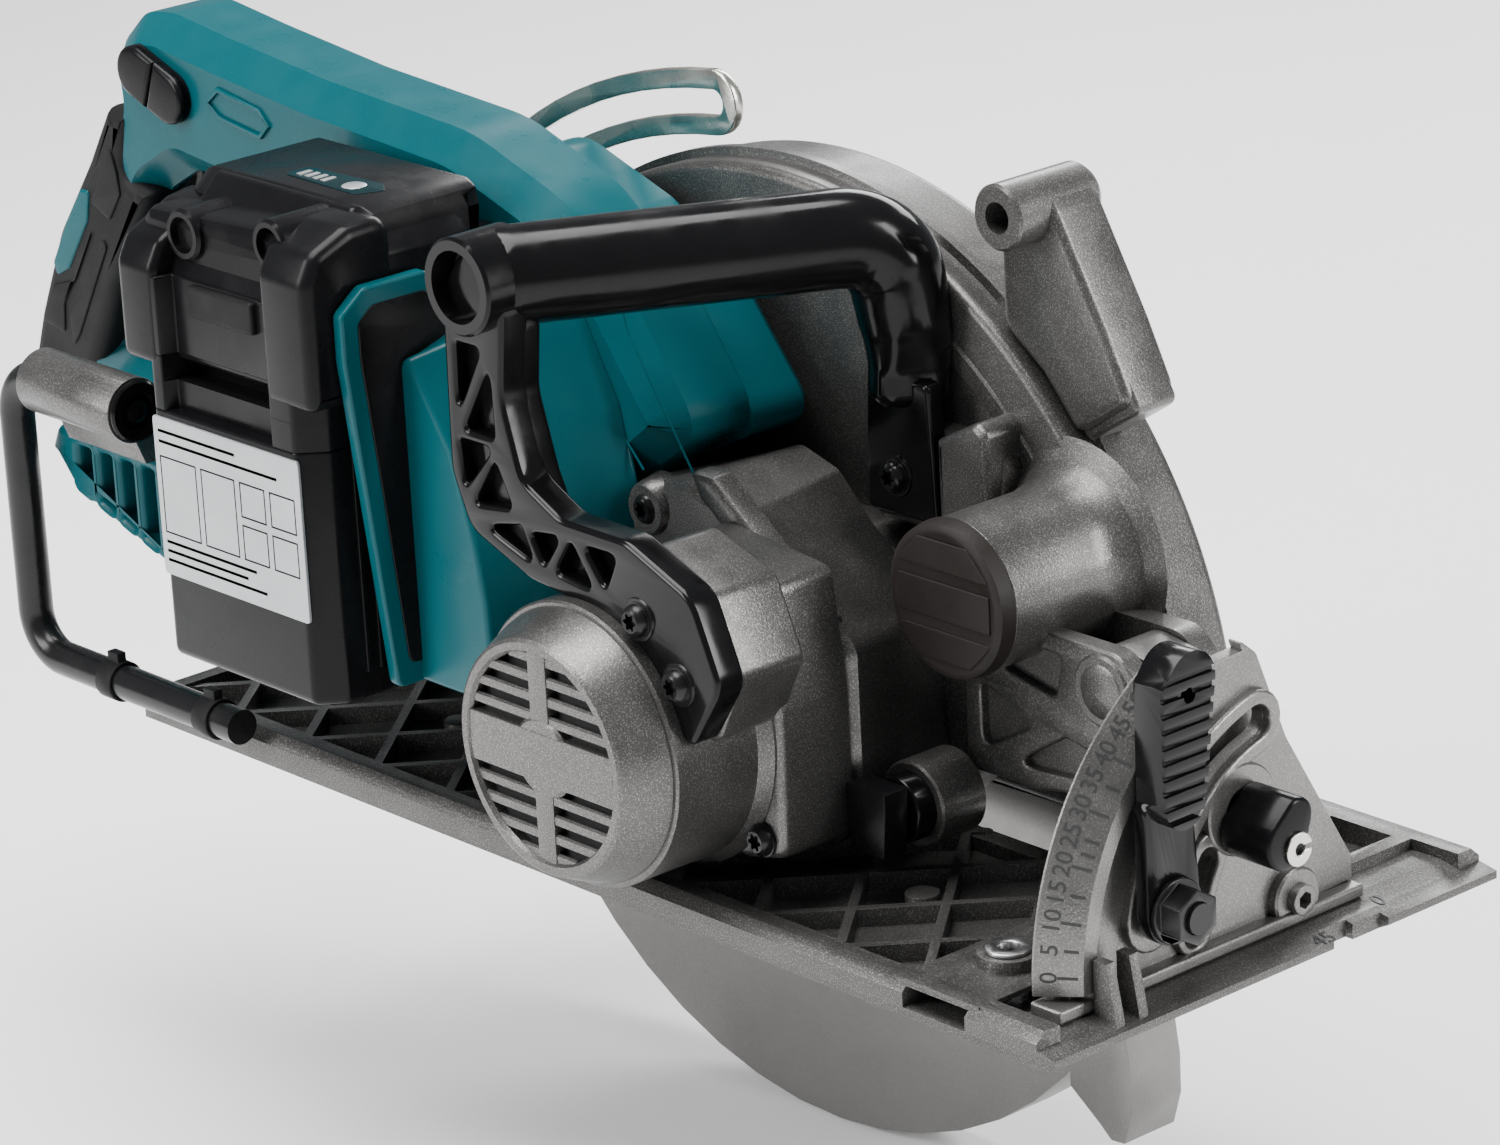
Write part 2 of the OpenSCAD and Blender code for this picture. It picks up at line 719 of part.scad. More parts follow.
module blade() {
    step = 360 / blade_teeth;
    r = blade_d / 2;
    color(steel) difference() {
        translate([0, 0, spindle_z]) plate_y(blade_y - blade_t / 2, blade_y + blade_t / 2)
            polygon([for (i = [0:blade_teeth - 1]) for (p = [[0, 1], [0.25, 0.985], [0.7, 0.955], [0.86, 0.94]])
                r * p[1] * [cos(step * (i + p[0])), sin(step * (i + p[0]))]]);
        rod_y(7.95, 40, 60, [0, spindle_z]);
    }
}

module blade_bolt() {
    color(steel) difference() {
        union() {
            rod_y(10.5, 57.62, 59.4, [0, spindle_z]);
            translate([0, 65, spindle_z]) rotate([90, 0, 0]) cylinder(r = 8, h = 5.6, $fn = 6);
        }
        translate([0, 66, spindle_z]) rotate([90, 0, 0]) cylinder(r = 3.4, h = 4, $fn = 6);
    }
}

module depth_pin() {
    color(steel) rod_y(4.98, 8.4, 38.2, [pivot_x, pivot_z]);
}

module dust_cap() {
    color(rubber) difference() {
        union() {
            rod_y(nozzle_r + 0.4, -9.5, -4.05, [nozzle_x, nozzle_z]);
            rod_y(nozzle_r - 3.1, -6, 6, [nozzle_x, nozzle_z]);
        }
        rod_y(nozzle_r - 6, -6.5, 8, [nozzle_x, nozzle_z]);
    }
}

module lock_sleeve() {
    color(black) difference() {
        rod_y(9, -14, 6.9, [lock_x, spindle_z]);
        rod_y(5, -16, 2.2, [lock_x, spindle_z]);
    }
}

module spindle_lock() {
    color(rubber) {
        rod_y(4.95, -16, 0, [lock_x, spindle_z]);
        plate_y(-24, -15.98) polygon([[91, 18], [103, 18], [104, 30], [104, 36], [89.5, 36], [89.5, 30]]);
    }
}

// ---- front handle ----

module front_handle() {
    near_y0 = -71;
    near_y1 = -57;
    bar_a = [9, -62, 164];
    bar_b = [59, 28, 164];
    color(black) difference() {
        union() {
            // top bar with its slanted, open near end
            translate(bar_a) sphere(r = bar_d / 2);
            translate(bar_b) sphere(r = bar_d / 2);
            translate(bar_a) rotate([0, 0, atan2(bar_b[1] - bar_a[1], bar_b[0] - bar_a[0])]) rotate([0, 90, 0])
                cylinder(r = bar_d / 2, h = norm(bar_b - bar_a));
            // near post, running down to the motor housing
            plate_y(near_y0, near_y1 - 4.9) polygon([
                [-3, 161], [-4, 112], [2.4, 97], [25.7, 88.5], [53, 84], [68, 74],
                [84.7, 56], [97.5, 76], [88, 98], [64, 107.6], [39, 107.7], [24.3, 115], [18.3, 135], [21, 162]]);
            plate_y(near_y0, near_y1) polygon([[-3, 161], [-4, 112], [2.4, 97], [16, 92], [32, 99], [24.3, 115],
                [18.3, 135], [21, 162]]);
            // far post and its foot
            plate_x(50, 72) polygon([[16, 160], [38, 160], [29.9, 112], [20, 112]]);
            plate_x(48, 75) polygon([[20, 117], [29.9, 117], [29.9, 88], [25.2, 88], [25.2, 104], [20, 112]]);
        }
        // open bar end and the pockets between the post's ribs
        rod_y(9, -90, -62, [bar_a[0], bar_a[2]]);
        for (pocket = [[[1, 146], [1, 116], [13, 146]], [[2, 109], [6, 100], [20, 96], [17, 110]],
            [[26, 93], [46, 92], [36, 102]]]) plate_y(near_y0 - 1, near_y1 - 9) polygon(pocket);
        for (at = foot_screws) rod_y(2.55, -80, -50, at);
        rod_y(motor_r + 0.3, -90, -50, [motor_x, motor_z]);
        rod_y(2.55, 15, 35, far_screw);
    }
}

module handle_screws() {
    color(black) {
        for (at = foot_screws) screw_y(at[0], -71.1, at[1], 2.5, 16);
        screw_y(far_screw[0], 25.1, far_screw[1], 2.5, 12);
    }
}

// ---- rear handle, controls and electronics ----

module handle_outline() {
    polygon([[-270, 60], [-268, 76], [-262, 92], [-249, 119], [-231, 143], [-219, 162], [-221, 177], [-207, 189],
        [-194, 191], [-168, 187], [-124, 182], [-63, 178], [-27, 166], [-5, 150], [26, 112], [20, 101.6],
        [8, 98.6], [-27, 72.5], [-30, 44], [-142, 44], [-200, 54], [-262, 50]]);
}

module finger_opening() {
    polygon([[-234, 84], [-222, 108], [-202, 138], [-188, 146], [-152, 142], [-146, 100], [-158, 84]]);
}

module handle_half(y0, y1) {
    difference() {
        plate_y(y0, y1) difference() {
            handle_outline();
            finger_opening();
        }
        // hollow for the electronics, the switch and the button
        box([-128, handle_y - 12, 60], [-40, handle_y + 12, 150]);
        plate_y(handle_y - 9, handle_y + 9) polygon([[-202, 184], [-144, 180], [-144, 150], [-176, 150],
            [-176, 136], [-198, 100], [-216, 100], [-236, 112], [-238, 122], [-216, 156]]);
        rod_y(2, handle_y - 12, handle_y + 12, trigger_at);
        plate_y(-30, 30) bar(button_r + 0.1, button_a, button_b);
    }
}

module handle_half_right() {
    color(teal) {
        difference() {
            union() {
                handle_half(handle_y - grip_w / 2, handle_y);
                // cowl that carries the battery mount and the hook's tube
                plate_y(-57, -18) polygon([[-207, 71], [-203, 79], [-134, 79], [-134, 44], [-142, 44]]);
            }
            rod_x(tube_r + 0.1, -230, tube_x1 + 2, [tube_y, tube_z]);
            for (i = [0:5]) box([-196 + 10 * i, -60, 60], [-191 + 10 * i, -50, 74]);
        }
    }
}

module handle_half_left() {
    color(teal) difference() {
        union() {
            handle_half(handle_y + 0.02, handle_y + grip_w / 2);
            // shoulder that fills the room up to the guard
            plate_y(handle_y + grip_w / 2, 34) polygon([
                [-150, 46], [-150, 96], [-120, 140], [-63, 170], [-27, 158],
                [-5, 146], [26, 108], [20, 101.6], [8, 98.6], [-27, 72.5], [-30, 46]]);
            box([-168, 18, 50], [-148, 36, 70]);
        }
        rod_y(3, 10, 40, [clamp_x, clamp_z]);
    }
}

module grip_rubber() {
    color(rubber) for (side = [-1, 1]) {
        y0 = side < 0 ? -grip_w / 2 - 2 : grip_w / 2 + 0.02;
        plate_y(y0, y0 + 1.98) polygon([[-269, 62], [-267, 77], [-261, 92], [-248, 119], [-230, 143], [-218, 160],
            [-210, 160], [-213, 142], [-206, 134], [-223, 108], [-235, 84], [-235, 62]]);
    }
}

module trigger() {
    color(black) {
        plate_y(-8, 8) polygon([[-216, 119], [-211, 140], [-194, 154], [-186, 151], [-177, 140], [-184, 120],
            [-193, 107], [-203, 106]]);
        rod_y(1.95, -11.5, 11.5, trigger_at);
    }
}

module lock_off_button() {
    color(black) plate_y(-22, 22) bar(button_r, button_a, button_b);
}

module switch_body() {
    color(black) box([-174, -7, 152], [-148, 7, 176]);
}

module controller() {
    color(steel) difference() {
        box([-124, -9, 66], [-46, 9, 144]);
        for (i = [0:8]) box([-122 + 8.4 * i, -10, 70], [-118 + 8.4 * i, -5, 140]);
    }
}

module battery_mount() {
    color(black) difference() {
        box([batt_x0 + 6, -23, 48], [batt_x1 - 2, -18.02, 158]);
        for (x = [-98, -80, -62]) box([x, -24, 60], [x + 2, -21, 90]);
    }
}

module teal_cover() {
    color(teal) difference() {
        union() {
            plate_y(-60, -20.1) polygon([[-40.5, 126], [-33, 130], [-14, 112], [-1, 96], [2, 74], [3, 46],
                [-12, 38], [-40.5, 44]]);
            box([-40.5, -21, 50], [-29, -18.02, 124]);
        }
        plate_y(-57, -21) polygon([[-37, 120], [-33, 124], [-16, 108], [-5, 94], [-2, 74], [-1, 50], [-12, 42],
            [-37, 48]]);
        for (i = [0:3]) box([-34 + 6 * i, -62, 100], [-31 + 6 * i, -56, 112]);
    }
}

module hook_tube() {
    color(cast) difference() {
        union() {
            rod_x(tube_r, tube_x0, tube_x1, [tube_y, tube_z]);
            hull() {
                box([tube_x0 + 5, -62, 79.1], [tube_x1 - 2, -54, 82]);
                box([tube_x0 + 5, -66, 89], [tube_x1 - 2, -60, 92]);
            }
        }
        rod_x(hook_r + 0.06, -230, tube_x1 - 4, [tube_y, tube_z]);
    }
}

module rafter_hook() {
    bend = 13;
    rear_x = -208;
    module corner(x, z, a) {
        translate([x, tube_y, z]) rotate([90, 0, 0]) rotate([0, 0, a]) rotate_extrude(angle = 90)
            translate([bend, 0]) circle(r = hook_r);
    }
    color(black) {
        rod_x(hook_r, rear_x + bend, tube_x1 - 6, [tube_y, tube_z]);
        corner(rear_x + bend, tube_z - bend, 90);
        rod_z(hook_r, low_z + bend, tube_z - bend, [rear_x, tube_y]);
        corner(rear_x + bend, low_z + bend, 180);
        rod_x(hook_r, rear_x + bend, -112, [tube_y, low_z]);
    }
}

module hook_sleeves() {
    color(rubber) for (x = [-173, -128]) difference() {
        union() {
            rod_x(5.9, x, x + 7, [tube_y, low_z]);
            box([x + 1, tube_y - 1.5, low_z + 4], [x + 6, tube_y + 1.5, low_z + 8.5]);
        }
        rod_x(hook_r, x - 1, x + 8, [tube_y, low_z]);
    }
}

module hex_wrench() {
    color(zinc) {
        translate([-238, -9, 42]) cylinder(r = 2.4, h = 9.3, $fn = 6);
        translate([-238, -9, 41]) rotate([0, 90, 0]) cylinder(r = 2.4, h = 70, $fn = 6);
    }
}

// ---- depth clamp ----

module depth_clamp() {
    color(steel) {
        rod_y(2.97, 12, 48, [clamp_x, clamp_z]);
        rod_y(6, 36.1, 39.2, [clamp_x, clamp_z]);
    }
}

module depth_lever() {
    color(black) difference() {
        plate_y(43, 49) hull() {
            translate([clamp_x, clamp_z]) circle(r = 9);
            translate([clamp_x - 26, clamp_z + 22]) circle(r = 6);
        }
        rod_y(3, 40, 48.1, [clamp_x, clamp_z]);
    }
}

// ---- battery ----

module battery_outline(inset) {
    polygon([[batt_x0 + 8 + inset, -88 + inset], [batt_x1 - 6 - inset, -88 + inset], [batt_x1 - inset, -80],
        [batt_x1 - inset, -23.4 - inset], [batt_x0 + inset, -23.4 - inset], [batt_x0 + inset, -76]]);
}

module battery_case() {
    color(black) difference() {
        translate([0, 0, batt_z0]) linear_extrude(batt_seam - batt_z0) battery_outline(0);
        difference() {
            translate([0, 0, batt_z0 + 3]) linear_extrude(batt_l) battery_outline(3);
            box([batt_x0 + 11, -86, 107], [batt_x1 - 11, -79, batt_seam + 1]);
        }
        box([batt_x0 + 14, -90, 110], [batt_x1 - 16, -82, batt_seam + 1]);
    }
}

module battery_cover() {
    z0 = batt_seam + 0.02;
    color(black) difference() {
        union() {
            translate([0, 0, z0]) linear_extrude(batt_z1 - z0) battery_outline(0);
            // wider shoulders above the slide, and the two round horns beside the release button
            box([batt_x0 - 5, -84, 131], [batt_x1 + 4, -30, 160]);
            for (x = [-108, -49]) rod_z(10, z0, 163, [x, -78]);
        }
        difference() {
            translate([0, 0, z0 - 1]) linear_extrude(152 - z0) battery_outline(3);
            box([batt_x0 + 8, -86, z0 - 2], [batt_x1 - 8, -73, 156]);
        }
        // recess for a thumb, with the release button's pocket behind it
        box([batt_x0 + 12, -90, z0 - 1], [batt_x1 - 16, -80, 149]);
        box([-96, -81, 136], [-66, -76, 148]);
        // sloped front edge
        translate([0, -88, 160]) rotate([35, 0, 0]) box([-97, -30, 0], [-60, 16, 40]);
        translate([0, -88, 166]) rotate([45, 0, 0]) box([-200, -30, 0], [0, 6, 40]);
    }
}

module battery_cells() {
    color("#7a2a2a") for (row = [0:1], i = [0:2])
        rod_z(10.5, batt_z0 + 6, batt_z0 + 76, [batt_x0 + 15 + 22.4 * i, -66 + 22 * row]);
}

module battery_button() {
    color(rubber) box([-95, -83, 137], [-67, -78.2, 147]);
}

base_plate();
bevel_quadrant();
quadrant_screws();
fence_insert();
fence_screw();
bevel_pin_front();
bevel_pin_rear();
front_bracket();
bevel_bolt();
bevel_lever();
bevel_nut();
bevel_stop_knob();
stop_clip();
rear_bracket();
depth_guide();
guide_rivet();
upper_guard();
gear_housing();
motor_housing();
vent_cover();
housing_screws();
depth_pin();
front_handle();
handle_screws();
handle_half_right();
handle_half_left();
grip_rubber();
teal_cover();
hook_tube();
rafter_hook();
hook_sleeves();
battery_mount();
switch_body();
controller();
stator();
windings();
motor_bearings();
spindle_bearings();
countershaft();
rotor();
fan();
spindle();
blade_flanges();
blade();
blade_bolt();
lower_guard();
guard_ring();
guard_spring();
dust_cap();
lock_sleeve();
spindle_lock();
depth_clamp();
depth_lever();
trigger();
lock_off_button();
battery_case();
battery_cover();
battery_cells();
battery_button();
hex_wrench();
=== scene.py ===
"""Cordless rear-handle circular saw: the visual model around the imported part, laid out as an add-on."""
import json
import math

import bmesh
import bpy
import numpy as np
from mathutils import Matrix, Vector
from mathutils.geometry import tessellate_polygon

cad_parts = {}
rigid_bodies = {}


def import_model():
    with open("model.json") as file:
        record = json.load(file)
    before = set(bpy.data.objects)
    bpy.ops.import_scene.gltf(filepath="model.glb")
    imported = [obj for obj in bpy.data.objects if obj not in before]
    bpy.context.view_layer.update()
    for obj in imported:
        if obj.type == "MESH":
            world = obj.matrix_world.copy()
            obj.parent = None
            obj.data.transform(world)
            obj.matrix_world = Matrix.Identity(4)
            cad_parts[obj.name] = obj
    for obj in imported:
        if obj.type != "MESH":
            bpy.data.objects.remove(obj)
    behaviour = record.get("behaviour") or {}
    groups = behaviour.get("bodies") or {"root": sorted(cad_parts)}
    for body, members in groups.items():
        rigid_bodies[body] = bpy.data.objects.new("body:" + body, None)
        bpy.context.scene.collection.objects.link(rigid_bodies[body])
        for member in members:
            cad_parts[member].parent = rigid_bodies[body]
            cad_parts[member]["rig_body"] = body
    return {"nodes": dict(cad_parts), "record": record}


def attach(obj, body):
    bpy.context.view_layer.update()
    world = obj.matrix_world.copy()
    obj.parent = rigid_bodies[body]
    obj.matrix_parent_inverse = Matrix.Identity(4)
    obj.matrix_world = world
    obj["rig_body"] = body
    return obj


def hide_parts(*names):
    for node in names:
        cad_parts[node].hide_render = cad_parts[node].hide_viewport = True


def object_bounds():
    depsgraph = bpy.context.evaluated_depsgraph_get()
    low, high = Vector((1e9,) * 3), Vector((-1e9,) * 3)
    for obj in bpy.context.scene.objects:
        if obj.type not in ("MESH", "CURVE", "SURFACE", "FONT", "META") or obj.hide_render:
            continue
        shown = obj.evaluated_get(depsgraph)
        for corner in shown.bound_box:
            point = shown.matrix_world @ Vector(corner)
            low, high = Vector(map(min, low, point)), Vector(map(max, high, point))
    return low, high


bl_info = {
    "name": "Circular saw",
    "version": (1, 0, 0),
    "blender": (4, 5, 0),
    "location": "3D View > Sidebar > Saw",
    "description": "Builds the looks of a cordless circular saw round its fixed frame",
    "category": "Object",
}

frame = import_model()
cad_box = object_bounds()
NODES = frame["nodes"]
MM = 0.001

# Places that several pieces share, in millimetres, in the row frame
SPINDLE = (0.0, 27.0)
MOTOR = (46.0, 50.0)
BEVEL = (37.0, 12.5)
NOZZLE = (113.0, 86.0)
GUARD_R = 141.0


# ---------------------------------------------------------------- shapes

def place(u, v, w, axis):
    """Points whose flat outline is (u, v) and whose distance along axis is w."""
    order = {"x": (w, u, v), "y": (u, w, v), "z": (u, v, w)}[axis]
    return np.stack(np.broadcast_arrays(*order), axis=-1).reshape(-1, 3)


def fillet(points, radius, steps=5):
    """Closed outline whose corners are parabolas that start and end on the corner's two edges.

    The cut length is radius / tan(half the corner's angle), at most 0.48 of the shorter edge.
    """
    p = np.asarray(points, float)
    back, ahead = np.roll(p, 1, 0) - p, np.roll(p, -1, 0) - p
    lb, la = np.linalg.norm(back, axis=1), np.linalg.norm(ahead, axis=1)
    ub, ua = back / lb[:, None], ahead / la[:, None]
    half = 0.5 * np.arccos(np.clip((ub * ua).sum(1), -1, 1))
    cut = np.minimum(np.asarray(radius) / np.maximum(np.tan(half), 0.05), 0.48 * np.minimum(lb, la))
    s = np.linspace(0, 1, steps + 1)[None, :, None]
    a, b = (p + ub * cut[:, None])[:, None], (p + ua * cut[:, None])[:, None]
    return ((1 - s) ** 2 * a + 2 * s * (1 - s) * p[:, None] + s ** 2 * b).reshape(-1, 2)


def circle(centre, r, n=48, a0=0.0, a1=360.0, closed=True):
    """Points at radius r from angle a0 to a1."""
    a = np.radians(np.linspace(a0, a1, n, endpoint=not closed))
    return np.stack([centre[0] + r * np.cos(a), centre[1] + r * np.sin(a)], 1)


def area(p):
    """Signed area of an outline, positive when it runs anticlockwise."""
    q = np.roll(p, -1, 0)
    return 0.5 * float((p[:, 0] * q[:, 1] - q[:, 0] * p[:, 1]).sum())


def drawn_in(p, d):
    """Outline moved by d to its left, with mitred corners."""
    e1, e2 = p - np.roll(p, 1, 0), np.roll(p, -1, 0) - p
    e1 /= np.maximum(np.linalg.norm(e1, axis=1), 1e-9)[:, None]
    e2 /= np.maximum(np.linalg.norm(e2, axis=1), 1e-9)[:, None]
    n = np.stack([-(e1 + e2)[:, 1], (e1 + e2)[:, 0]], 1)
    n /= np.maximum(np.linalg.norm(n, axis=1), 1e-9)[:, None]
    mitre = (n * np.stack([-e1[:, 1], e1[:, 0]], 1)).sum(1)
    return p + n * (d / np.maximum(mitre, 0.6))[:, None]


def ring_faces(rows, n, offset=0, close=True):
    """Quads of a grid of rows by n points that closes on itself along the rows."""
    r, c = np.meshgrid(np.arange(rows - 1), np.arange(n if close else n - 1), indexing="ij")
    c2 = (c + 1) % n
    return (np.stack([r * n + c, r * n + c2, (r + 1) * n + c2, (r + 1) * n + c], -1).reshape(-1, 4)
            + offset).tolist()


def plate(outlines, lo, hi, round_lo=0.0, round_hi=0.0, axis="y", steps=4):
    """Closed plate from lo to hi: the first outline is its edge and the others are its holes.

    At a distance s from an end of rounding r, every outline is drawn in by
    r - sqrt(r^2 - (r - s)^2), a quarter circle.
    """
    a = np.linspace(0, math.pi / 2, steps + 1)
    ends = [(lo + round_lo * (1 - np.cos(a)), round_lo * (1 - np.sin(a))) if round_lo else ([lo], [0])]
    ends.append((hi - round_hi * (1 - np.cos(a)), round_hi * (1 - np.sin(a))) if round_hi else ([hi], [0]))
    w = np.concatenate([ends[0][0], ends[1][0][::-1]])
    inset = np.concatenate([ends[0][1], ends[1][1][::-1]])
    verts, faces, first, last, offset = [], [], [], [], 0
    for i, outline in enumerate(outlines):
        p = np.asarray(outline, float)
        if (area(p) > 0) != (i == 0):
            p = p[::-1]
        rows = np.stack([drawn_in(p, d) for d in inset])
        verts.append(place(rows[..., 0], rows[..., 1], w[:, None], axis))
        faces += ring_faces(len(w), len(p), offset)
        first.append((rows[0], offset))
        last.append((rows[-1], offset + (len(w) - 1) * len(p)))
        offset += len(w) * len(p)
    for caps in (first, last):
        index = np.concatenate([np.arange(len(p)) + o for p, o in caps])
        loops = [[Vector((x, y, 0)) for x, y in p] for p, o in caps]
        faces += [[int(index[k]) for k in t] for t in tessellate_polygon(loops)]
    return np.concatenate(verts), faces


def block(lo, hi, corner=1.0, edge=0.5, axis="z"):
    """Box with corners rounded about axis and its two end faces' edges rounded."""
    keep = [i for i in range(3) if i != "xyz".index(axis)]
    (u0, v0), (u1, v1) = [[p[i] for i in keep] for p in (lo, hi)]
    k = "xyz".index(axis)
    outline = fillet([(u0, v0), (u1, v0), (u1, v1), (u0, v1)], corner, 4)
    return plate([outline], lo[k], hi[k], edge, edge, axis, 3)


def lathe(profile, at, axis="y", n=64, a0=0.0, a1=360.0):
    """Closed profile of (along, radius) points turned about an axis through at, from a0 to a1 degrees."""
    p = np.asarray(profile, float)
    whole = abs(a1 - a0) >= 359.9
    a = np.radians(np.linspace(a0, a1, n, endpoint=not whole))
    u, v = at[0] + p[None, :, 1] * np.cos(a)[:, None], at[1] + p[None, :, 1] * np.sin(a)[:, None]
    verts = place(u, v, np.broadcast_to(p[None, :, 0], u.shape), axis)
    k = len(p)
    r, c = np.meshgrid(np.arange(n if whole else n - 1), np.arange(k), indexing="ij")
    r2, c2 = (r + 1) % n, (c + 1) % k
    faces = np.stack([r * k + c, r * k + c2, r2 * k + c2, r2 * k + c], -1).reshape(-1, 4).tolist()
    if not whole:
        faces += [list(range(k)), list(range((n - 1) * k, n * k))]
    return verts, faces


def sweep(path, section, up=(0, 1, 0), round_ends=0.0):
    """Closed section of (side, up) points carried along a path, square to it, with domed ends.

    A section for each point of the path may be given; a dome of length round_ends shrinks the
    section by sqrt(1 - t^2) while t goes from 0 to 1.
    """
    path = np.asarray(path, float)
    tangent = np.gradient(path, axis=0)
    tangent /= np.linalg.norm(tangent, axis=1)[:, None]
    side = np.cross(tangent, np.asarray(up, float))
    side /= np.linalg.norm(side, axis=1)[:, None]
    top = np.cross(side, tangent)
    sec = np.asarray(section, float)
    if sec.ndim == 2:
        sec = np.broadcast_to(sec, (len(path),) + sec.shape)
    if round_ends:
        t = np.array([0.98, 0.85, 0.6, 0.3])[:, None, None]
        shrink = np.sqrt(1 - t ** 2)
        path = np.concatenate([path[0] - t[:, 0] * round_ends * tangent[0], path,
                               path[-1] + t[::-1, 0] * round_ends * tangent[-1]])
        side = np.concatenate([np.repeat(side[:1], 4, 0), side, np.repeat(side[-1:], 4, 0)])
        top = np.concatenate([np.repeat(top[:1], 4, 0), top, np.repeat(top[-1:], 4, 0)])
        sec = np.concatenate([sec[:1] * shrink, sec, sec[-1:] * shrink[::-1]])
    verts = (path[:, None] + sec[..., :1] * side[:, None] + sec[..., 1:] * top[:, None]).reshape(-1, 3)
    n, rows = sec.shape[1], len(path)
    faces = ring_faces(rows, n) + [list(range(n)), list(range((rows - 1) * n, rows * n))]
    return verts, faces


def rounded(points, radius, steps=8, gap=4.0):
    """Open path through points whose corners are parabolas, with extra points along its straights."""
    p = np.asarray(points, float)
    b, a = p[:-2] - p[1:-1], p[2:] - p[1:-1]
    lb, la = np.linalg.norm(b, axis=1)[:, None], np.linalg.norm(a, axis=1)[:, None]
    cut = np.minimum(radius, 0.48 * np.minimum(lb, la))
    s = np.linspace(0, 1, steps + 1)[None, :, None]
    arcs = (1 - s) ** 2 * (p[1:-1] + b / lb * cut)[:, None] + 2 * s * (1 - s) * p[1:-1][:, None] \
        + s ** 2 * (p[1:-1] + a / la * cut)[:, None]
    q = np.concatenate([p[:1], arcs.reshape(-1, p.shape[1]), p[-1:]])
    d = np.concatenate([[0], np.cumsum(np.linalg.norm(np.diff(q, axis=0), axis=1))])
    keep = np.concatenate([[True], np.diff(d) > 1e-6])
    q, d = q[keep], d[keep]
    t = np.union1d(d, np.arange(0, d[-1], gap))
    t = t[np.concatenate([[True], np.diff(t) > 0.3])]
    return np.stack([np.interp(t, d, q[:, i]) for i in range(q.shape[1])], 1)


def disc_section(rx, ry=None, n=20, power=2.0):
    """Superellipse |x/rx|^power + |y/ry|^power = 1."""
    a = np.linspace(0, 2 * math.pi, n, endpoint=False)
    c, s = np.cos(a), np.sin(a)
    return np.stack([rx * np.sign(c) * np.abs(c) ** (2 / power),
                     (ry or rx) * np.sign(s) * np.abs(s) ** (2 / power)], 1)


def loft(first, last, lo, hi, axis="y"):
    """Closed solid whose edge runs straight from one outline at lo to another of as many points at hi."""
    rows = np.stack([np.asarray(first, float), np.asarray(last, float)])
    w = np.array([lo, hi], float)[:, None]
    n = rows.shape[1]
    faces = ring_faces(2, n) + [list(range(n)), list(range(n, 2 * n))]
    return place(rows[..., 0], rows[..., 1], w, axis), faces


def pan_head(at, y, r=4.75, height=3.3):
    """Screw head facing -Y: a turned dome with a washer flange, and a six-lobed socket in it.

    The socket's radius is r (0.42 + 0.09 cos 6a), a function of the angle a.
    """
    a = np.linspace(0, 2 * math.pi, 48, endpoint=False)
    lobes = np.stack([at[0] + r * (0.42 + 0.09 * np.cos(6 * a)) * np.cos(a),
                      at[1] + r * (0.42 + 0.09 * np.cos(6 * a)) * np.sin(a)], 1)
    along = np.array([0.0, 0.22, 0.24, 0.6, 0.85, 1.0])
    out = np.array([1.0, 1.0, 0.9, 0.86, 0.74, 0.6]) * r
    rim = np.stack([at[0] + out[:, None] * np.cos(a), at[1] + out[:, None] * np.sin(a)], -1)
    rows = np.concatenate([rim, lobes[None], lobes[None]])
    depth = y - height * np.concatenate([along, [0.98, 0.45]])
    verts = place(rows[..., 0], rows[..., 1], depth[:, None], "y")
    n = len(a)
    return verts, ring_faces(len(rows), n) + [list(range(n)), list(range((len(rows) - 1) * n, len(rows) * n))]


def welded(verts, faces):
    """The same closed shape with its doubled points made one and collapsed corners dropped."""
    keys, index = np.unique(np.round(np.asarray(verts, float), 4), axis=0, return_inverse=True)
    index = index.ravel()
    corners = [list(dict.fromkeys(index[list(f)].tolist())) for f in faces]
    return keys, [c for c in corners if len(c) > 2]


def joined(shapes):
    """One mesh from several, each welded on its own."""
    shapes = [welded(*shape) for shape in shapes]
    verts = np.concatenate([np.asarray(v, float) for v, _ in shapes])
    offsets = np.cumsum([0] + [len(v) for v, _ in shapes[:-1]])
    faces = [[int(i) + int(o) for i in f] for (_, fs), o in zip(shapes, offsets) for f in fs]
    return verts, faces


# ---------------------------------------------------------------- pieces

def set_smooth(mesh, angle=35.0):
    """Smooth shading with edges over angle kept sharp."""
    bm = bmesh.new()
    bm.from_mesh(mesh)
    limit = math.radians(angle)
    for face in bm.faces:
        face.smooth = True
    for edge in bm.edges:
        edge.smooth = len(edge.link_faces) == 2 and edge.calc_face_angle(0.0) < limit
    bm.to_mesh(mesh)
    bm.free()


def add_piece(name, shapes, body, material, stands_for=(), bevel=0.0, angle=35.0, segments=2):
    """Makes one object of the given shapes, welded, facing outwards, riding on a body."""
    verts, faces = joined(shapes)
    mesh = bpy.data.meshes.new(name)
    mesh.from_pydata((verts * MM).tolist(), [], faces)
    bm = bmesh.new()
    bm.from_mesh(mesh)
    bmesh.ops.recalc_face_normals(bm, faces=bm.faces)
    bm.to_mesh(mesh)
    bm.free()
    return finish_piece(name, mesh, body, material, stands_for, bevel, angle, segments)


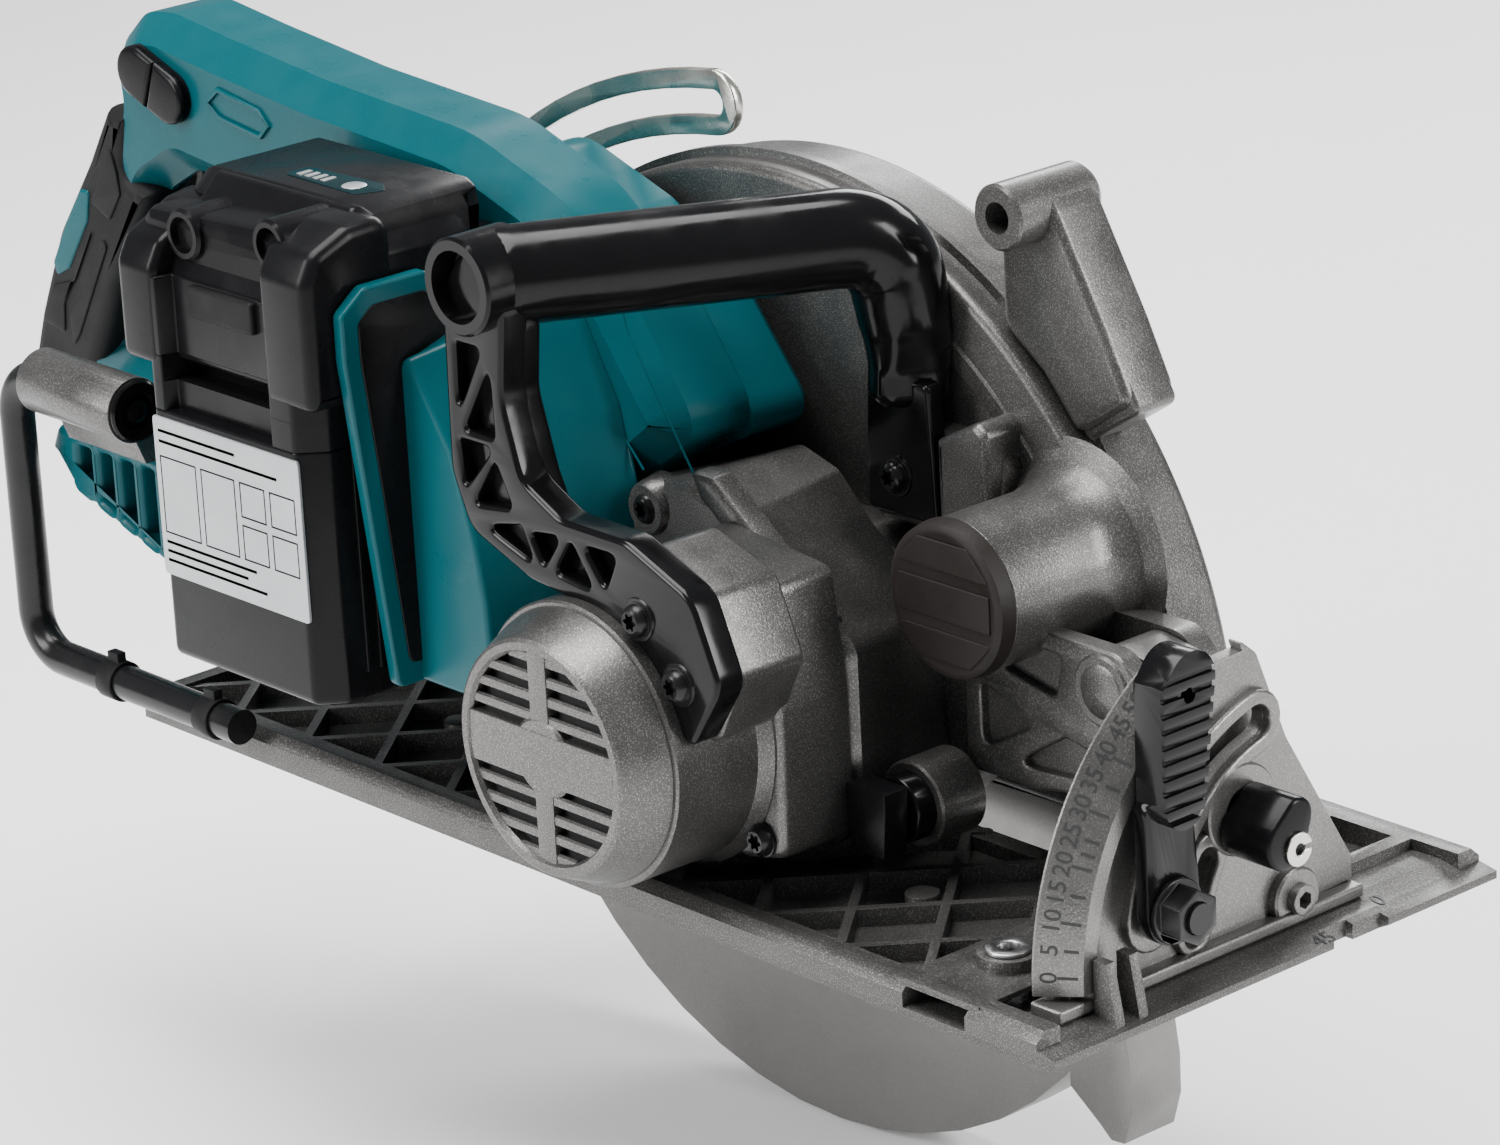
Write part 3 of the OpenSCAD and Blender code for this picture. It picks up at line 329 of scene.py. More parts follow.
def finish_piece(name, mesh, body, material, stands_for, bevel, angle, segments):
    """Links a mesh as a piece with its material, shading, bevel and body."""
    mesh.materials.clear()
    mesh.materials.append(material)
    piece = bpy.data.objects.new(name, mesh)
    bpy.context.scene.collection.objects.link(piece)
    if bevel:
        for polygon in mesh.polygons:
            polygon.use_smooth = True
        mod = piece.modifiers.new("edge", "BEVEL")
        mod.width = bevel * MM
        mod.segments = segments
        mod.limit_method = "ANGLE"
        mod.angle_limit = math.radians(30)
        mod.harden_normals = True
    else:
        set_smooth(mesh, angle)
    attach(piece, body)
    if stands_for:
        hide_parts(*stands_for)
    return piece


def cast_copy(node, material, bevel=0.4, segments=2, name=None):
    """A CAD node's own shape with its loose triangles welded, flat faces made whole and edges rounded."""
    source = NODES[node]
    mesh = source.data.copy()
    bm = bmesh.new()
    bm.from_mesh(mesh)
    bmesh.ops.remove_doubles(bm, verts=bm.verts, dist=2e-6)
    bmesh.ops.dissolve_limit(bm, angle_limit=math.radians(0.6), verts=bm.verts, edges=bm.edges)
    for edge in bm.edges:
        edge.smooth = True
    bm.to_mesh(mesh)
    bm.free()
    body = source["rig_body"]
    return finish_piece(name or node + "_finish", mesh, body, material, (node,), bevel, 30.0, segments)


# ---------------------------------------------------------------- finishes

def finish(name, colour, rough, metal=0.0, coat=0.0, speckle=None, rough_vary=0.08, bump=0.0,
           bump_scale=900.0, blotch=0.10, gloss=0.5):
    """A finish whose colour, gloss and relief come from noise on the object's own coordinates.

    speckle is (lighter colour, grain scale per metre, how much shows).
    """
    mat = bpy.data.materials.new(name)
    mat.use_nodes = True
    tree = mat.node_tree
    shader = tree.nodes["Principled BSDF"]
    shader.inputs["Metallic"].default_value = metal
    shader.inputs["Coat Weight"].default_value = coat
    shader.inputs["Coat Roughness"].default_value = 0.12
    shader.inputs["Specular IOR Level"].default_value = gloss
    link = tree.links.new
    coords = tree.nodes.new("ShaderNodeTexCoord").outputs["Object"]

    def noise(scale, detail=3.0):
        node = tree.nodes.new("ShaderNodeTexNoise")
        node.inputs["Scale"].default_value = scale
        node.inputs["Detail"].default_value = detail
        link(coords, node.inputs["Vector"])
        return node.outputs["Fac"]

    def ramp(source, stops):
        node = tree.nodes.new("ShaderNodeValToRGB")
        node.color_ramp.elements[0].position, node.color_ramp.elements[0].color = stops[0]
        node.color_ramp.elements[1].position, node.color_ramp.elements[1].color = stops[1]
        link(source, node.inputs["Fac"])
        return node.outputs["Color"]

    def tone(factor):
        return tuple(min(1.0, c * factor) for c in colour[:3]) + (1.0,)

    base = ramp(noise(14.0), [(0.35, tone(1 - blotch)), (0.65, tone(1 + blotch))])
    if speckle:
        light, scale, share = speckle
        grain = ramp(noise(scale, 1.0), [(0.52, (0, 0, 0, 1)), (0.70, (share, share, share, 1))])
        mix = tree.nodes.new("ShaderNodeMix")
        mix.data_type = "RGBA"
        link(grain, mix.inputs["Factor"])
        link(base, mix.inputs["A"])
        mix.inputs["B"].default_value = tuple(light) + (1.0,)
        base = mix.outputs["Result"]
    link(base, shader.inputs["Base Color"])
    spread = tree.nodes.new("ShaderNodeMapRange")
    spread.inputs["From Min"].default_value = 0.3
    spread.inputs["From Max"].default_value = 0.7
    spread.inputs["To Min"].default_value = max(0.02, rough - rough_vary)
    spread.inputs["To Max"].default_value = rough + rough_vary
    link(noise(90.0), spread.inputs["Value"])
    link(spread.outputs["Result"], shader.inputs["Roughness"])
    if bump:
        node = tree.nodes.new("ShaderNodeBump")
        node.inputs["Strength"].default_value = bump
        node.inputs["Distance"].default_value = 0.0004
        link(noise(bump_scale, 2.0), node.inputs["Height"])
        link(node.outputs["Normal"], shader.inputs["Normal"])
    return mat


FINISH = {}


def make_finishes(look):
    """Every finish of the saw, by the record's slot names and a few extra ones."""
    light = (0.34, 0.33, 0.32)
    grey = tuple(look.paint)
    FINISH.update(
        housing_paint=finish("housing paint", grey, 0.36, 0.72, 0.15, (light, 2600.0, 0.55), bump=0.16,
                             bump_scale=1500.0),
        shoe_paint=finish("base paint", tuple(c * 0.80 for c in grey), 0.42, 0.65, 0.1, (light, 2400.0, 0.45),
                          bump=0.22, bump_scale=1200.0),
        cast_alloy=finish("cast alloy", (0.16, 0.156, 0.15), 0.34, 0.8, 0.0,
                          ((0.42, 0.41, 0.40), 2200.0, 0.4),
                          bump=0.2, bump_scale=1400.0),
        machined=finish("machined alloy", (0.56, 0.55, 0.53), 0.30, 0.95, bump=0.08, bump_scale=2000.0),
        guard_metal=finish("satin guard", (0.20, 0.195, 0.19), 0.40, 0.75, 0.0,
                           ((0.3, 0.29, 0.28), 1800.0, 0.3),
                           bump=0.1, bump_scale=900.0),
        teal_plastic=finish("teal plastic", tuple(look.teal), 0.32, 0.0, 0.06, bump=0.02, bump_scale=700.0,
                            blotch=0.0, gloss=0.16),
        black_plastic=finish("black plastic", (0.004, 0.004, 0.0044), 0.17, bump=0.02, bump_scale=500.0,
                             gloss=0.20),
        battery_plastic=finish("battery plastic", (0.005, 0.005, 0.0056), 0.26, bump=0.04,
                               bump_scale=1600.0, gloss=0.13),
        grip_rubber=finish("grip rubber", (0.008, 0.008, 0.0085), 0.52, bump=0.25, bump_scale=2200.0,
                           gloss=0.14),
        cap_rubber=finish("cap rubber", (0.014, 0.011, 0.010), 0.5, bump=0.15, bump_scale=1500.0,
                          gloss=0.2),
        steel=finish("bright steel", (0.55, 0.55, 0.55), 0.28, 1.0, bump=0.05, bump_scale=2500.0),
        zinc=finish("zinc plate", (0.62, 0.61, 0.56), 0.26, 1.0, bump=0.08, bump_scale=900.0, blotch=0.15),
        black_steel=finish("black steel", (0.008, 0.008, 0.0085), 0.25, bump=0.04, bump_scale=900.0,
                           gloss=0.3),
        copper=finish("wound copper", (0.62, 0.28, 0.14), 0.35, 0.9, bump=0.3, bump_scale=500.0),
        cell_wrap=finish("cell wrap", (0.20, 0.03, 0.03), 0.45),
        label=finish("blank label", (0.42, 0.43, 0.44), 0.34, 0.55, bump=0.02),
        # near-black of the printed marks, also used as painted shade on the dark discs inside openings
        marking=finish("dark print and painted shade", (0.02, 0.02, 0.02), 0.55),
        gauge=finish("gauge window", (0.001, 0.014, 0.017), 0.25, gloss=0.1),
    )


SLOT = {m["node"]: m["material_slot"] for m in frame["record"]["subparts"]}


def finish_of(node):
    return FINISH[SLOT[node]]


# ---------------------------------------------------------------- sections of the saw

def guard_pieces():
    """Blade cover: near wall, rim band and far wall, with nozzle, hinge arm, handle foot and boss."""
    r, cz = GUARD_R, SPINDLE[1]
    paint = FINISH["housing_paint"]

    def capped(radius, low):
        a = math.degrees(math.asin((low - cz) / radius))
        return circle(SPINDLE, radius, 97, a, 180 - a, closed=False)

    a0 = math.degrees(math.asin((14 - cz) / r))
    shapes = [
        plate([capped(r, 14), circle(SPINDLE, 25.5, 48)], 38, 41, 2.6, 0),
        lathe([(41, 138), (65, 138), (65, r), (58, r), (58, r + 0.01), (50.5, r), (50, r + 2.3),
               (47, r + 2.3),
               (46.5, r), (41, r)], SPINDLE, "y", 120, a0, 180 - a0),
        plate([capped(r, 56)], 65, 68, 0, 2.6),
        # raised step round the near wall
        lathe([(38.2, 122), (37.4, 123), (37.4, 127.5), (38.2, 128.5)], SPINDLE, "y", 110, a0 + 1,
              180 - a0 - 1),
        # nozzle, flaring where it meets the wall
        lathe([(-4, 17.5), (-4, 20), (-3.4, 20.5), (26, 20.5), (33, 22), (37, 25), (39, 31), (39, 17.5)],
              NOZZLE, "y", 64),
        # handle foot
        plate([fillet([(46, 84), (94, 84), (94, 112), (48, 112)], 3)], 30, 39, 1.5, 0),
        plate([fillet([(75.4, 89), (93.5, 94), (94, 117), (90, 119.5), (75.4, 112)], [1, 3, 3, 3, 1])], 25,
              39, 2.2, 0),
    ]
    add_piece("blade_cover", shapes, "saw", paint, ("upper_guard",), angle=32)
    # top boss with its arm along the rim
    arm = fillet([(84, 164), (88, 177), (98, 182), (104, 174), (120, 146), (129, 128), (110, 116), (98, 130),
                  (84, 140)], [6, 8, 8, 6, 20, 4, 4, 12, 10])
    shapes = [
        plate([arm], 42, 60, 2.5, 2.5),
        lathe([(32, 4.2), (32, 8.0), (32.8, 8.8), (60, 8.8), (61.8, 7.5), (62, 0), (53, 0), (52, 4.2)],
              (94, 173), "y", 40),
        plate([fillet([(100, 130), (116, 150), (131, 126), (112, 114)], 3)], 44, 58.5, 1.5, 1.5),
    ]
    add_piece("guard_boss_arm", shapes, "saw", paint, angle=32)
    # hinge arm
    cheek = fillet([(100, 33), (100, 60), (113, 77), (156, 77), (163, 70), (163, 40), (124, 33)],
                   [2, 3, 6, 8, 8, 5, 8])
    pockets = [fillet(p, 2.5) for p in ([(106, 40), (106, 58), (126, 51)],
                                        [(113, 64), (118, 72), (136, 72), (133, 60)],
                                        [(116, 38), (136, 50), (158, 46), (157, 41)])]
    shapes = [
        plate([cheek] + pockets, 9, 11.6, 0.9, 0),
        plate([cheek], 11.6, 14.6),
        plate([cheek], 31.4, 38.5),
        plate([fillet([(96, 36), (128, 36), (128, 62), (96, 62)], 2)], 14.6, 38.5),
        lathe([(8.4, 0), (8.4, 9), (9.2, 10), (14.6, 10), (14.6, 0)], (150, 66), "y", 40),
    ]
    add_piece("hinge_arm", shapes, "saw", paint, angle=32)
    add_piece("depth_pin_end", [lathe([(8.0, 0), (8.0, 6.6), (8.4, 7.2), (9.4, 7.2), (9.4, 0)], (150, 66),
                                      "y", 40)],
              "saw", FINISH["housing_paint"])


def gear_case_pieces():
    """Gear case: three stepped blocks with rounded edges, screw bosses and ribs."""
    near = fillet([(-26, 36), (-24, 74), (8, 98), (28, 103), (48, 97), (66, 84), (88, 70), (88, 24), (76, 12),
                   (-8, 12)], [6, 6, 8, 6, 6, 8, 6, 6, 6, 6])
    slim = fillet([(-26, 36), (-24, 70), (6, 94), (24, 100), (38, 96), (50, 84), (74, 66), (78, 24), (68, 12),
                   (-8, 12)], [6, 6, 8, 6, 6, 8, 6, 6, 6, 6])
    inner = fillet([(-23, 39), (-21, 72), (9, 94.5), (28, 99.5), (46, 94), (63, 81.5), (84.5, 68), (84.5, 26),
                    (74, 15), (-6, 15)], [6, 6, 8, 6, 6, 8, 6, 6, 6, 6])
    far = fillet([(-24, 24), (-22, 72), (8, 82), (46, 82), (88, 66), (88, 24), (76, 12), (22, 12), (22, 3.5),
                  (-22, 3.5)], [4, 6, 6, 8, 6, 6, 6, 4, 3, 3])
    shapes = [
        loft(near, slim, -16.5, 25),
        loft(inner, near, -20, -16.5),
        plate([far], 24, 37.8, 2.5, 0.5),
        plate([fillet([(-24, 30), (24, 30), (24, 3.5), (-24, 3.5)], 3)], 16.5, 26, 2, 0),
        lathe([(-8, 9.1), (-8, 11), (-7.4, 11.6), (7, 11.6), (7, 9.1)], (97, 27), "y", 40),
        lathe([(30, 0), (30, 20), (46.6, 20), (47, 19.6), (47, 9), (44, 9), (44, 0)], SPINDLE, "y", 56),
        lathe([(-22, 3), (-22, 6.4), (-21, 7.2), (-14, 8.5), (-14, 3)], (14, 92), "y", 36),
    ]
    ridge = fillet([(30, 106), (40, 106), (80, 76), (80, 70), (70, 72), (34, 99)], 2)
    shapes.append(plate([ridge], -20.6, -14, 2.0, 0, steps=2))
    add_piece("gear_case", shapes, "saw", FINISH["housing_paint"], ("gear_housing",),
              angle=32)


def motor_pieces():
    """Motor housing with its flange, handle pad and screw ear, and the slatted end cover."""
    paint = FINISH["housing_paint"]
    pad = fillet([(46, 84), (62, 104), (86, 96), (95, 76), (86, 58), (70, 50)], [3, 5, 5, 5, 4, 3])
    ear = fillet([(50, 80), (40, 96), (84, 92), (88, 60), (88, 20), (70, 16), (60, 40)],
                 [3, 4, 4, 6, 5, 4, 3])
    shapes = [
        lathe([(-75, 31), (-75, 37.4), (-74.4, 38), (-48, 38), (-44.5, 40.5), (-20.1, 40.5), (-20.1, 31)],
              MOTOR, "y", 96),
        plate([pad], -61.8, -40, 1.2, 1.2),
        plate([ear], -44, -20.1, 2.4, 0.5),
    ]
    add_piece("motor_case", shapes, "saw", paint, ("motor_housing",), angle=32)
    # end cover: tapered ring, a floor of painted shade, slats, centre rib, hub and a blank band
    y = -88.0
    cx, cz = MOTOR
    shapes = [lathe([(y + 1.2, 27.8), (y, 28.6), (y, 30.6), (y + 0.7, 31.6), (y + 10, 35.6), (y + 12.9, 36.5),
                     (y + 12.9, 27.8)], MOTOR, "y", 96)]
    for k in range(-5, 6):
        if abs(k) < 2:
            continue
        z = 5.3 * k
        half = math.sqrt(28.6 ** 2 - z * z)
        slat = [(y + 1.0, z - 1.3), (y + 5.0, z - 1.3), (y + 5.0, z + 0.2), (y + 1.6, z + 1.3),
                (y + 1.0, z + 0.8)]
        shapes.append(plate([[(p[0], cz + p[1]) for p in slat]], cx - half, cx + half, axis="x"))
    band = fillet([(cx - 28, cz - 6.8), (cx + 28, cz - 6.8), (cx + 28, cz + 6.8), (cx - 28, cz + 6.8)], 1)
    shapes += [plate([band], y + 0.4, y + 4.4, 0.3, 0),
               block((cx - 3.4, y + 0.7, cz - 28.4), (cx + 3.4, y + 5.3, cz + 28.4), 0.5, 0.2, "y"),
               lathe([(y + 0.55, 0), (y + 0.55, 10), (y + 1.35, 11), (y + 14, 11), (y + 14, 0)], MOTOR, "y",
                     48)]
    add_piece("motor_end_cover", shapes, "saw", FINISH["housing_paint"], ("vent_cover",),
              angle=30)
    # near-black disc behind the slats: painted shade for the shaded inside of the motor
    add_piece("motor_vent_painted_shade", [lathe([(-84, 0), (-84, 28), (-83.5, 28.2), (-76, 28.2), (-76, 0)], MOTOR, "y",
                                   64)],
              "saw", FINISH["marking"])


def handle_shell(side):
    """Half of the rear housing, its outer edge cut by a flat chamfer of 8 mm."""
    outline = fillet([(-269, 60), (-266.5, 76), (-260.5, 92), (-247.5, 119), (-229.5, 143), (-218.5, 162),
                      (-220.5, 177), (-207, 189), (-194, 190.5), (-168, 187), (-124, 182), (-63, 178),
                      (-27, 166),
                      (-5, 150), (24, 112), (6, 98.6), (-27, 74), (-30, 44), (-142, 44), (-200, 54),
                      (-262, 51)],
                     [10, 30, 30, 30, 20, 9, 9, 12, 20, 40, 60, 60, 40, 30, 9, 10, 10, 9, 20, 30, 9], 4)
    opening = fillet([(-234, 84), (-222, 108), (-202, 138), (-188, 146), (-152, 142), (-146, 100),
                      (-158, 84)],
                     [10, 12, 10, 8, 12, 12, 12], 4)
    if side < 0:
        return plate([outline, opening], -18, 0, 8, 0, steps=1)
    return plate([outline, opening], 0, 18, 0, 8, steps=1)


def rear_housing_pieces():
    """Rear handle's two teal halves with the cowl, shoulder, raised badge frame and thin seams on the flank.
    """
    teal = FINISH["teal_plastic"]
    cowl = fillet([(-206, 71), (-202, 79), (-134, 79), (-134, 44), (-142, 44)], [2, 4, 2, 2, 10])
    slots = [fillet([(x, 64 - (x + 196) * 0.3), (x + 6, 62 - (x + 196) * 0.3), (x + 6, 74), (x, 74)], 1.2)
             for x in (-193, -183, -173, -163, -153, -143)]
    add_piece("right_shell", [handle_shell(-1), plate([cowl] + slots, -57, -50, 2.5, 0),
                              plate([cowl], -51, -17)],
              "saw", teal, ("handle_half_right",), bevel=1.1)
    badge = np.array([(-170, 170.5), (-165, 175.3), (-146, 172.3), (-141.5, 168), (-146, 163.7),
                      (-165, 166.7)])
    middle = badge.mean(0)
    add_piece("badge_frame", [plate([badge, middle + (badge - middle) * (0.93, 0.78)], -19.0, -17.6, 0.3, 0)],
              "saw", teal)
    shoulder = fillet([(-150, 46), (-150, 96), (-120, 140), (-63, 170), (-27, 158), (-5, 146), (26, 108),
                       (6, 98.6), (-27, 74), (-30, 46)], [3, 8, 20, 20, 10, 10, 8, 8, 8, 3])
    add_piece("left_shell", [handle_shell(1), plate([shoulder], 10, 34, 0, 6, steps=1),
                             block((-168, 16, 50), (-148, 36, 70), 3, 1, "y")], "saw", teal,
              ("handle_half_left",), bevel=1.1)
    # thin seams on the flank, between its moulded facets
    seams = [[(-17, -18.15, 165), (4, -18.15, 149), (6, -18.15, 139), (30, -18.15, 104)],
             [(-60, -18.15, 150), (-24, -18.15, 137), (10, -18.15, 101)]]
    add_piece("flank_ribs", [sweep(rounded(q, 3), disc_section(0.35, 0.3, 6), (0, 1, 0)) for q in seams],
              "saw", teal)


def tube_end_pieces():
    """Boss with a sunk screw in the front end of the hook's tube."""
    boss = [(-150.2, 0), (-150.2, 8.8), (-148.8, 8.8), (-148.2, 8.2), (-148.2, 5.6), (-149.4, 5.2),
            (-149.4, 3.4),
            (-148.4, 3.1), (-148.1, 2.6), (-148.1, 0)]
    add_piece("tube_end", [lathe(boss, (-65.6, 96), "x", 40)], "saw",
              FINISH["black_plastic"])


def grip_pieces():
    """Rubber that wraps the grip, with raised pads, a shell-coloured inlay and the lock-off button's seam."""
    rubber = FINISH["grip_rubber"]
    wrap = fillet([(-270, 60), (-268, 76), (-262, 92), (-249, 119), (-231, 143), (-219.5, 161), (-209, 160),
                   (-213, 142), (-200.8, 137.5), (-220.6, 107.5), (-232.6, 83.5), (-238, 74), (-240, 60)],
                  [6, 30, 30, 30, 20, 3, 3, 6, 3, 12, 10, 8, 3])
    pads = [[(-225, 121), (-238, 101.5), (-244.5, 95), (-244.5, 84), (-240.5, 89), (-223, 118.5)],
            [(-228, 126), (-241, 105.5), (-252, 102), (-259, 90), (-248, 88), (-247, 97)],
            [(-217.5, 150), (-224, 140), (-229, 131), (-220.5, 127), (-214, 136), (-215, 142)],
            [(-248, 80), (-262, 80), (-264, 66), (-243, 66)]]
    shapes = [plate([wrap], -19.4, 19.4, 5, 5)]
    for pad in pads:
        shapes += [plate([fillet(pad, 1.5)], -20, -18, 0.5, 0), plate([fillet(pad, 1.5)], 18, 20, 0, 0.5)]
    add_piece("grip_wrap", shapes, "saw", rubber, ("grip_rubber",))
    inlay = fillet([(-229.5, 134.5), (-231.5, 125), (-243, 108.5), (-249.5, 105), (-251, 109), (-243, 122),
                    (-234, 134)], 1.5)
    add_piece("grip_inlay", [plate([inlay], -19.95, -17, 0.8, 0), plate([inlay], 17, 19.95, 0, 0.8)], "saw",
              FINISH["teal_plastic"])
    a, b = np.array((-200.4, 174.6)), np.array((-185.6, 169.2))
    turn = math.degrees(math.atan2(b[1] - a[1], b[0] - a[0]))
    pill = np.concatenate([circle(a, 7.5, 18, turn + 90, turn + 270, False),
                           circle(b, 7.5, 18, turn - 90, turn + 90, False)])
    half = [pill[:18], pill[18:]]
    mid = (a + b) / 2
    across = np.array((-(b - a)[1], (b - a)[0])) / np.linalg.norm(b - a) * 7.5
    shapes = [plate([pill], -20.6, 20.6)]
    for part, sign in ((half[0], -1), (half[1], 1)):
        offset = (b - a) / np.linalg.norm(b - a) * 0.2 * sign
        ends = [mid - across + offset, mid + across + offset] if sign < 0 else [mid + across + offset,
            mid - across + offset]
        outline = np.concatenate([part, ends])
        shapes += [plate([outline], -22, -19, 1.6, 0), plate([outline], 19, 22, 0, 1.6)]
    add_piece("lock_off_pill", shapes, "lock_off", FINISH["battery_plastic"],
              ("lock_off_button",))


def cheek_pieces():
    """Cheek beside the battery with its dark panel, and the faceted bulge in front of it."""
    teal = FINISH["teal_plastic"]
    cheek = fillet([(-70, 44), (-76, 100), (-80, 136), (-80, 149), (-72, 155), (-52, 155), (-20, 138),
                    (-20, 44)], 3)
    panel = fillet([(-66, 50), (-71, 100), (-75, 136), (-75, 146), (-70, 150), (-53, 150), (-26, 136),
                    (-26, 50)], 3)
    near = [(-37, 44), (-36.5, 131), (-31, 134), (-15, 112), (-8, 88), (-5, 72), (-4, 52), (-12, 44)]
    far = [(-37, 40), (-36.5, 146), (-14, 146), (2, 118), (8, 92), (8, 74), (8, 50), (-4, 40)]
    add_piece("bulge", [plate([cheek], -37.4, -33.5, 0.6, 1, "x"), loft(near, far, -62, -17, "y")], "saw",
              teal, ("teal_cover",), bevel=1.6)
    add_piece("cheek_panel", [plate([panel], -34.5, -33.0, 0, 0.4, "x")], "saw",
              FINISH["battery_plastic"])


def battery_pieces():
    """Battery: body, thumb recess between pillars, shoulders, sloping top, horns, gauge and blank label."""
    black = FINISH["battery_plastic"]
    x0, x1, y0, y1, z0 = -117.0, -42.0, -87.5, -23.4, 40.0

    def outline(depth, wide=0.0):
        return [(x0 + 8 - wide, y0), (-104.5, y0), (-103, y0 + depth), (-59, y0 + depth), (-57.5, y0),
                (x1 - 6, y0),
                (x1 + wide, y0 + 7), (x1 + wide, y1), (x0 - wide, y1), (x0 - wide, y0 + 10)]

    full = [p for i, p in enumerate(outline(0)) if i not in (1, 2, 3, 4)]
    shapes = [
        plate([fillet(full, [3, 3, 3, 1, 1, 3])], z0, 111, 3, 0.8, "z"),
        plate([fillet(outline(4), [3, 0.6, 0.6, 0.6, 0.6, 3, 3, 1, 1, 3])], 111, 119, 0, 0, "z"),
        plate([fillet(outline(12), [3, 0.6, 0.6, 0.6, 0.6, 3, 3, 1, 1, 3])], 118.9, 126, 0, 0, "z"),
        plate([fillet(outline(5), [3, 0.6, 0.6, 0.6, 0.6, 3, 3, 1, 1, 3])], 125.9, 148, 0.8, 0.5, "z"),
        # top: its side profile is carried across, sloping up from the recess to the flat lid
        plate([fillet([(-82.2, 147), (-80, 152), (-66, 167), (-62, 171.2), (y1, 171.2), (y1, 124),
                       (-82.2, 124)], 2.5)],
              x0 + 8.3, x1 - 6.3, 2, 2, "x"),
        plate([fillet([(-66, 130), (-66, 166), (-60, 171.6), (y1, 171.6), (y1, 130)], 2)], x0, x1, 6, 6,
              "x", 2),
    ]
    # pillars with tops that sweep up into the lid
    left = fillet([(-87.8, 123), (-87.8, 150), (-84, 157), (-70, 164), (-58, 166), (-56, 123)],
                  [3, 8, 6, 8, 6, 2])
    right = fillet([(-87.8, 123), (-87.8, 158), (-84, 165), (-72, 170), (-58, 171), (-56, 123)],
                   [3, 8, 6, 8, 6, 2])
    shapes += [plate([left], -122, -105, 3.5, 2.5, "x"), plate([right], -58.5, -38.2, 2.5, 3.5, "x")]
    shapes.append(plate([fillet([(-121.6, 131), (-121.6, 156), (-116, 164), (-44, 168), (-38.6, 160),
                                 (-38.6, 131)], 4)],
                        -80, -30, 3, 5, "y", 2))
    # ribs down the visible side
    shapes += [block((-43, y, 48), (-41.2, y + 1.6, 126), 0.4, 0.3) for y in np.arange(-74, -34, 4.4)]
    shapes += [block((-39.5, y, 134), (-37.8, y + 1.6, 150), 0.4, 0.3) for y in np.arange(-74, -60, 4.4)]
    add_piece("battery_shell", shapes, "battery", black, ("battery_case", "battery_cover"),
              bevel=0.7)
    # horns: short tubes that open to the front above the recess
    horns = [lathe([(-82, 5.0), (-82, 6.4), (-81, 7.2), (-62, 7.2), (-62, 5.0)], at, "y",
                   36) for at in ((-98, 159.5), (-60, 163.5))]
    add_piece("battery_horns", horns, "battery", black)
    # near-black discs down the horns' bores: painted shade for their shaded insides
    horn_shade_discs = [lathe([(-76, 0), (-76, 5.1), (-70, 5.1), (-70, 0)], at, "y", 24) for at in ((-98, 159.5),
        (-60, 163.5))]
    add_piece("battery_horn_painted_shade", horn_shade_discs, "battery", FINISH["marking"])
    add_piece("release_pad", [plate([fillet([(-95, 138), (-67, 138), (-67, 147), (-95, 147)], 1.5)], -84.2,
                                    -81, 1, 0)],
              "battery_release", FINISH["grip_rubber"], ("battery_button",))
    label = [plate([fillet([(-110, 64), (-46.5, 64), (-46.5, 109), (-110, 109)], 1.5)], -88, -87.2, 0.15, 0)]
    add_piece("battery_label", label, "battery", FINISH["label"])
    # blank boxes on the label, as plain frames
    frames = []
    for u0, v0, u1, v1 in ((-108, 76, -92, 98), (-90, 76, -75, 98), (-73, 88, -62, 98), (-73, 76, -62, 86),
                           (-60, 88, -49, 98), (-60, 76, -49, 86)):
        frames.append(plate([[(u0, v0), (u1, v0), (u1, v1), (u0, v1)],
                             [(u0 + .5, v0 + .5), (u1 - .5, v0 + .5), (u1 - .5, v1 - .5),
                              (u0 + .5, v1 - .5)]],
                            -88.0, -87.6))
    frames += [block((-108, -88.0, v), (-108 + w, -87.6, v + 1.0), 0.1, 0.05) for v, w in
               ((104.5, 34), (101.5, 52), (73, 40), (70.4, 36), (67.8, 44))]
    add_piece("label_print", frames, "battery", FINISH["marking"])
    # charge gauge: a pill-shaped window with four bars and a round button
    gauge = fillet([(-89, -53.5), (-89, -45), (-60, -43), (-54, -47), (-58, -54.5)], 2)
    add_piece("gauge_window", [plate([gauge], 171.2, 171.8, 0, 0.15, "z")], "battery",
              FINISH["gauge"])
    bars = [block((x, -51.8, 171.2), (x + 1.6, -47.4, 172.0), 0.2, 0.05) for x in (-86, -82.6, -79.2, -75.8)]
    bars.append(lathe([(171.2, 0), (171.2, 3.4), (171.8, 3.4), (172.0, 3.0), (172.0, 0)], (-64.5, -49.2),
                      "z", 32))
    add_piece("gauge_marks", bars, "battery", FINISH["label"])


